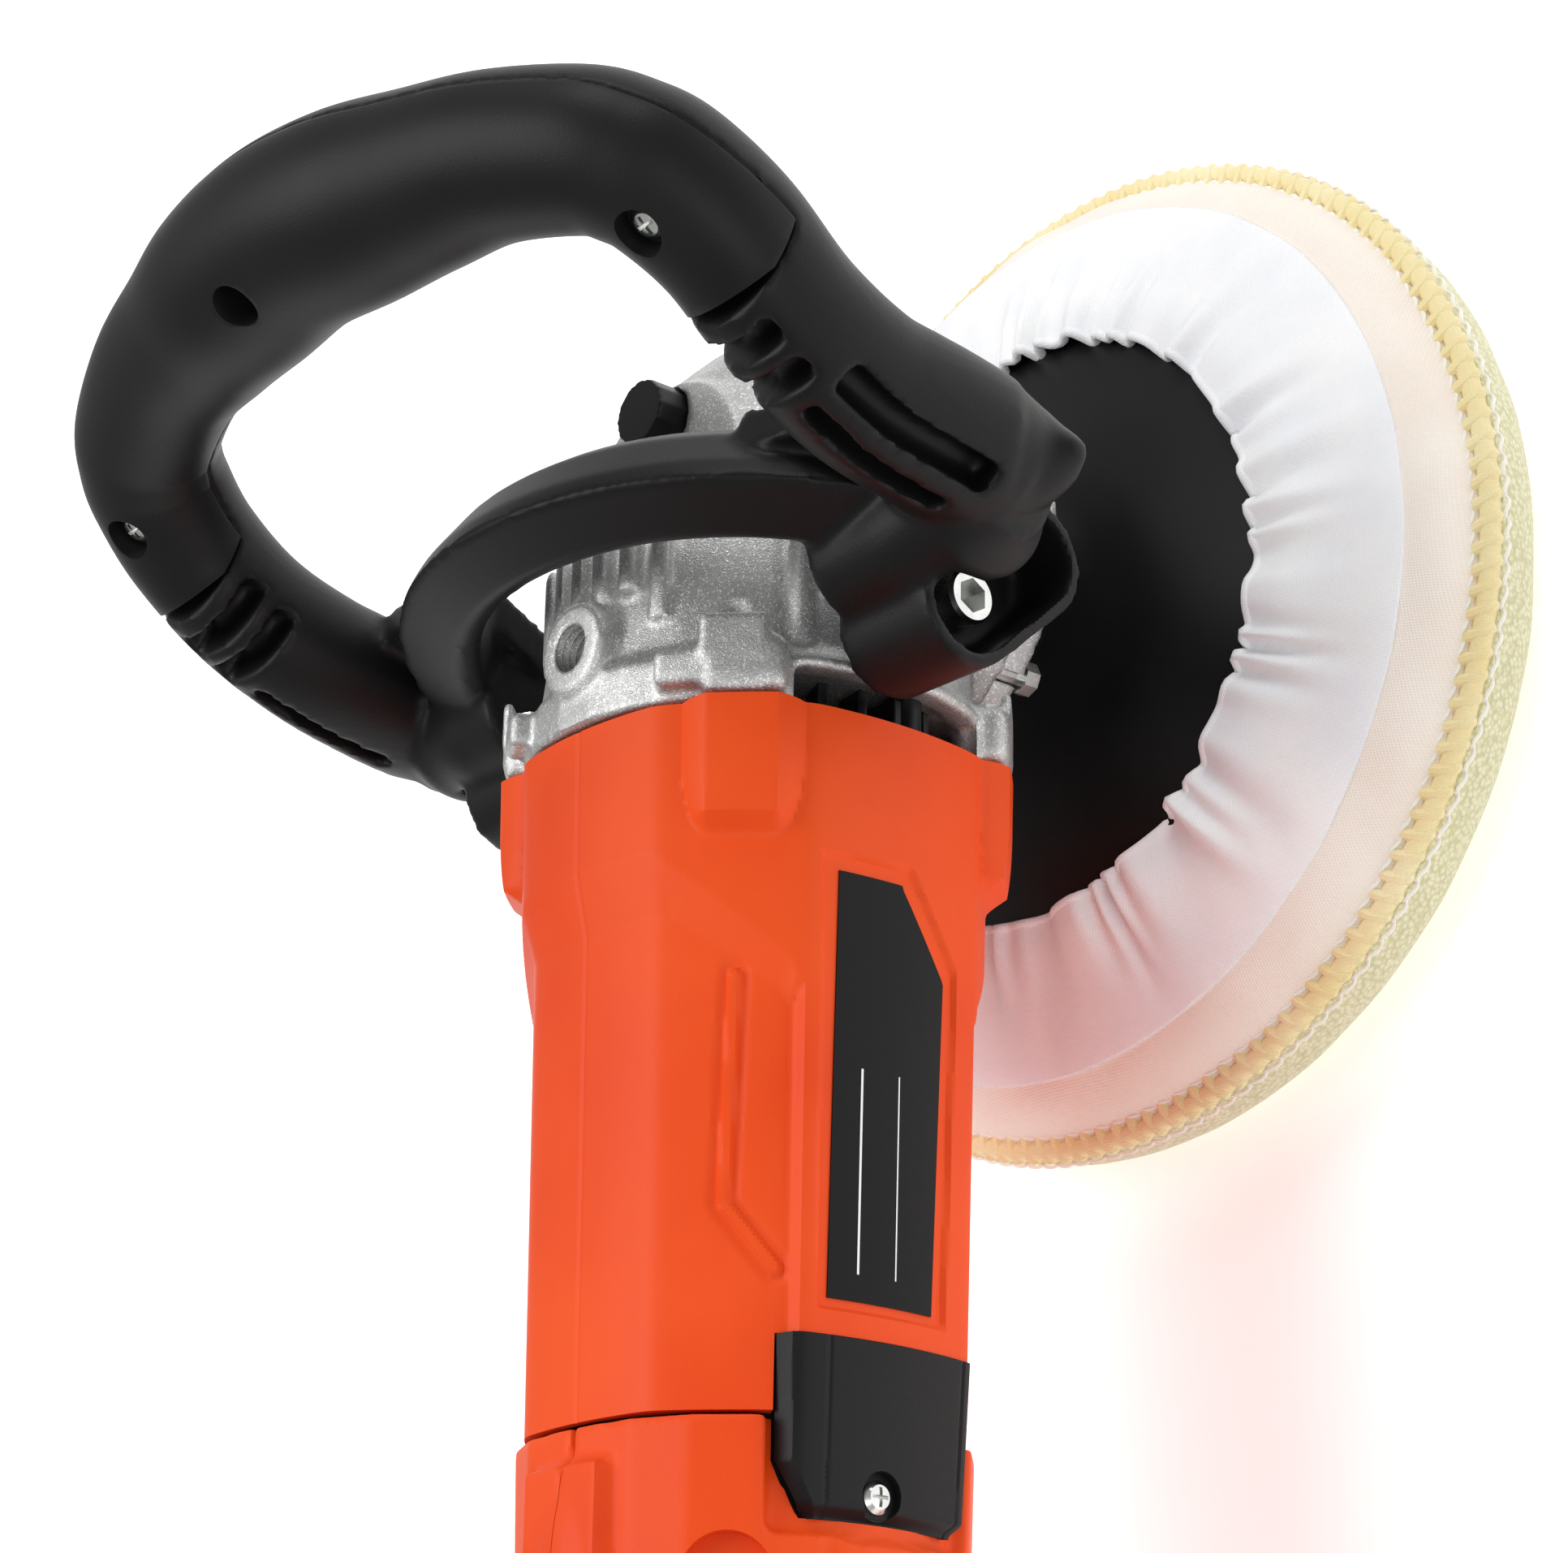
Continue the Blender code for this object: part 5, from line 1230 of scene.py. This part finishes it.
# ---- rear handle ----
def make_rear_handle():
    """Both halves of the rear handle, with the thumb rest, recesses and air inlets."""
    for name, sign in (("right", -1), ("left", 1)):
        solids = [frame_copy(f"rear_handle_{name}")]
        top = mapped_grid(40, 24, lambda u, v: Vector((
            -0.196 + 0.0180 * cos(2 * pi * u) * sin(pi * v), 0.0105 * cos(pi * v) * 1.0,
            AXIS_Z + 0.0352 + 0.0055 * sin(2 * pi * u) * sin(pi * v))))
        solids.append(top)
        frame_outline = [(-0.1925, 75.0), (-0.1925, 105.0), (-0.2160, 105.0), (-0.2160, 75.0)]
        solids.append(skin_patch(frame_outline, -sign, 0.0350, 0.0386))
        holder = fuse(scratch_object(solids), 0.00095, 3)
        cuts = []
        for slot in range(6):
            low = on_axis(-0.1950 - 0.0034 * slot, -sign * 79.0, 0.0330)
            high = on_axis(-0.1950 - 0.0034 * slot, -sign * 101.0, 0.0330)
            middle = (low + high) / 2 + Vector((0, sign * 0.004, 0))
            cuts.append(slab(stadium(0.0055, 0.0009, 8), Vector((0, 0, 1)), Vector((1, 0, 0)), middle, 0.016))
        edge = on_axis(-0.1990, -sign * 46.5, 0.0350)
        cuts.append(rod(0.0078, edge, on_axis(-0.1990, -sign * 46.5, 0.0480), 48))
        near, far = (0.0001, 0.080) if sign > 0 else (-0.080, -0.0001)
        half_space = block((-0.400, near, 0.0), (-0.1725, far, 0.200))
        carve(holder, cuts)
        carve(holder, [half_space], "INTERSECT")
        carve(holder, [cover_room(1), cover_room(-1)])
        to_piece(f"rear_handle_{name}_shell", holder, ORANGE, "tool_body", [f"rear_handle_{name}"],
                 40)


def softened(node, name, surface, body, voxel=0.0007, smoothing=4):
    """A smooth skin that follows a frame node."""
    holder = fuse(scratch_object([frame_copy(node)]), voxel, smoothing)
    to_piece(name, holder, surface, body, [node], 40)


def ribbed_dial():
    """The speed dial: a thumb wheel with ribs round its rim."""
    low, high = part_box("speed_dial")
    centre = (low + high) / 2
    radius = (high.x - low.x) / 2
    half = (high.y - low.y) / 2
    steps = 180

    def place(u, v):
        turn = 2 * pi * u
        tooth = 0.0004 * (1 if sin(turn * 36) > 0 else 0)
        profile = [(0.0, -half), (radius - 0.0012, -half), (radius - 0.0002, -half + 0.0010),
                   (radius - 0.0002, half - 0.0010), (radius - 0.0012, half), (0.0, half)]
        reach, along = profile[int(round(v * (len(profile) - 1)))]
        if reach > radius - 0.0005:
            reach -= tooth
        return centre + Vector((reach * cos(turn), along, reach * sin(turn)))

    shape = mapped_grid(steps, 5, place)
    to_piece("speed_dial_wheel", shape, SMOOTH_BLACK, "speed_dial", ["speed_dial"], 30)


# ---- fixings ----
def frame_of(direction):
    """Two directions square to an axis."""
    along = Vector(direction).normalized()
    start = Vector((0, 0, 1)) if abs(along.z) < 0.8 else Vector((1, 0, 0))
    side = along.cross(start).normalized()
    return along, side, along.cross(side)


def cross_head(node, name, seat, direction, radius, body="tool_body"):
    """A pan-head screw with a cross recess, whose head stands on a seat."""
    along, side, up = frame_of(direction)
    tall = radius * 0.62
    profile = [(0.0, -0.0060), (radius * 0.45, -0.0060), (radius * 0.45, 0.0), (radius, 0.0),
               (radius, tall * 0.45), (radius * 0.72, tall * 0.88), (radius * 0.35, tall), (0.0, tall)]
    holder = scratch_object([spun(profile, along, seat, 40, False)])
    cuts = []
    for first, second in ((side, up), (up, side)):
        outline = [(-radius * 0.58, -radius * 0.11), (radius * 0.58, -radius * 0.11),
                   (radius * 0.58, radius * 0.11), (-radius * 0.58, radius * 0.11)]
        cuts.append(slab(outline, first, second, Vector(seat) + along * tall * 0.85, tall * 1.3))
    carve(holder, cuts)
    to_piece(name, holder, ZINC, body, [node], 30)


def socket_head(node, name, seat, direction, radius, tall):
    """A socket-head bolt with a deep hexagon recess and a chamfered rim."""
    along, side, up = frame_of(direction)
    profile = [(0.0, -0.010), (radius * 0.55, -0.010), (radius * 0.55, 0.0), (radius, 0.0),
               (radius, tall * 0.86), (radius * 0.90, tall), (0.0, tall)]
    holder = scratch_object([spun(profile, along, seat, 60, False)])
    outline = [(radius * 0.66 * cos(pi / 3 * k), radius * 0.66 * sin(pi / 3 * k)) for k in range(6)]
    carve(holder, [slab(outline, side, up, Vector(seat) + along * tall, tall * 1.5)])
    to_piece(name, holder, ZINC, "tool_body", [node], 30)


def make_fixings():
    """Grip screws, brush cover screws and the two loop bolts."""
    for number, (y, up) in enumerate(GRIP_SCREWS):
        seat = loop_point(y, up, grip_lean(up)) - GRIP_OUT * 0.0086
        node = ("grip_screw_1", "grip_screw_3", "grip_screw_2")[number]
        cross_head(node, f"{node}_head", seat, -GRIP_OUT, 0.0030)
    for side, name in ((1, "right"), (-1, "left")):
        seat = on_axis(-0.1842, side * 87.5, 0.0352)
        node = f"brush_cover_screw_{name}"
        cross_head(node, f"{node}_head", seat, radial(side * 87.5), 0.0028)
        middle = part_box(f"loop_bolt_{name}")
        reach = -side * 0.0522
        seat = Vector(((middle[0].x + middle[1].x) / 2, reach, AXIS_Z))
        socket_head(f"loop_bolt_{name}", f"loop_bolt_{name}_head", seat, (0, -side, 0), 0.0050, 0.0058)


# ---- rating label ----


def label_surface():
    """Gloss black laminated foil, with two thin printed white rules."""
    made, tree, shader = new_surface("gloss_black_label_foil", IOR=1.5, Specular_IOR_Level=0.15)
    place = add_node(tree, "ShaderNodeTexCoord").outputs["Object"]
    parts = add_node(tree, "ShaderNodeSeparateXYZ", links={"Vector": place})
    rule = None
    for height, half in ((AXIS_Z + 0.0075, 0.00022), (AXIS_Z - 0.0005, 0.00014)):
        near = add_node(tree, "ShaderNodeMath", {"operation": "COMPARE"}, {"Value": parts.outputs["Z"]})
        near.inputs[1].default_value = height
        near.inputs[2].default_value = half
        if rule is None:
            rule = near.outputs[0]
        else:
            both = add_node(tree, "ShaderNodeMath", {"operation": "MAXIMUM"})
            tree.links.new(rule, both.inputs[0])
            tree.links.new(near.outputs[0], both.inputs[1])
            rule = both.outputs[0]
    ends = add_node(tree, "ShaderNodeMath", {"operation": "COMPARE"}, {"Value": parts.outputs["X"]})
    ends.inputs[1].default_value = -0.131
    ends.inputs[2].default_value = 0.0175
    kept = add_node(tree, "ShaderNodeMath", {"operation": "MULTIPLY"})
    tree.links.new(rule, kept.inputs[0])
    tree.links.new(ends.outputs[0], kept.inputs[1])
    tree.links.new(tint(tree, kept.outputs[0], "#0e0e0f", "#f2f2f2"), shader.inputs["Base Color"])
    tree.links.new(spread(tree, grain(tree, 0.006, 3.0), 0.3, 0.7, 0.16, 0.26), shader.inputs["Roughness"])
    return made


def make_label():
    """The rating label, blank but for two rules, on the right side panel."""
    def place(u, v):
        x = -0.0795 + (-0.1531 + 0.0795) * u
        low = line([(-0.1533, 69.9), (-0.0795, 71.2)], x)
        high = line([(-0.1529, 103.6), (-0.0948, 105.6), (-0.0799, 90.6)], x)
        angle = low + (high - low) * v
        return on_axis(x, angle, housing_radius(x, angle) + 0.0003)

    shape = mapped_grid(90, 50, place)
    if sum(face.normal.y for face in shape.faces) > 0:
        bmesh.ops.reverse_faces(shape, faces=shape.faces)
    bmesh.ops.solidify(shape, geom=shape.faces[:], thickness=0.0003)
    bmesh.ops.recalc_face_normals(shape, faces=shape.faces)
    to_piece("rating_label_foil", shape, label_surface(), "tool_body", ["rating_label"], 30)

make_loop_handle()
make_housing()
make_brush_covers()
make_label()
make_bonnet()
make_foam()
make_backing_plate()
make_gear_case()
make_exhaust_parts()
make_rear_handle()
ribbed_dial()
softened("trigger", "trigger_lever", BLACK, "trigger")
softened("cable_gland", "cable_gland_sleeve", RUBBER, "tool_body")
softened("lock_on_button", "lock_on_cap", SMOOTH_BLACK, "lock_on_button", 0.0004, 3)
softened("spindle_lock_button", "spindle_lock_cap", SMOOTH_BLACK, "spindle_lock", 0.0004, 3)
softened("bearing_cover", "bearing_cover_casting", CAST, "tool_body", 0.0009, 2)
make_fixings()

finish_frame_nodes()
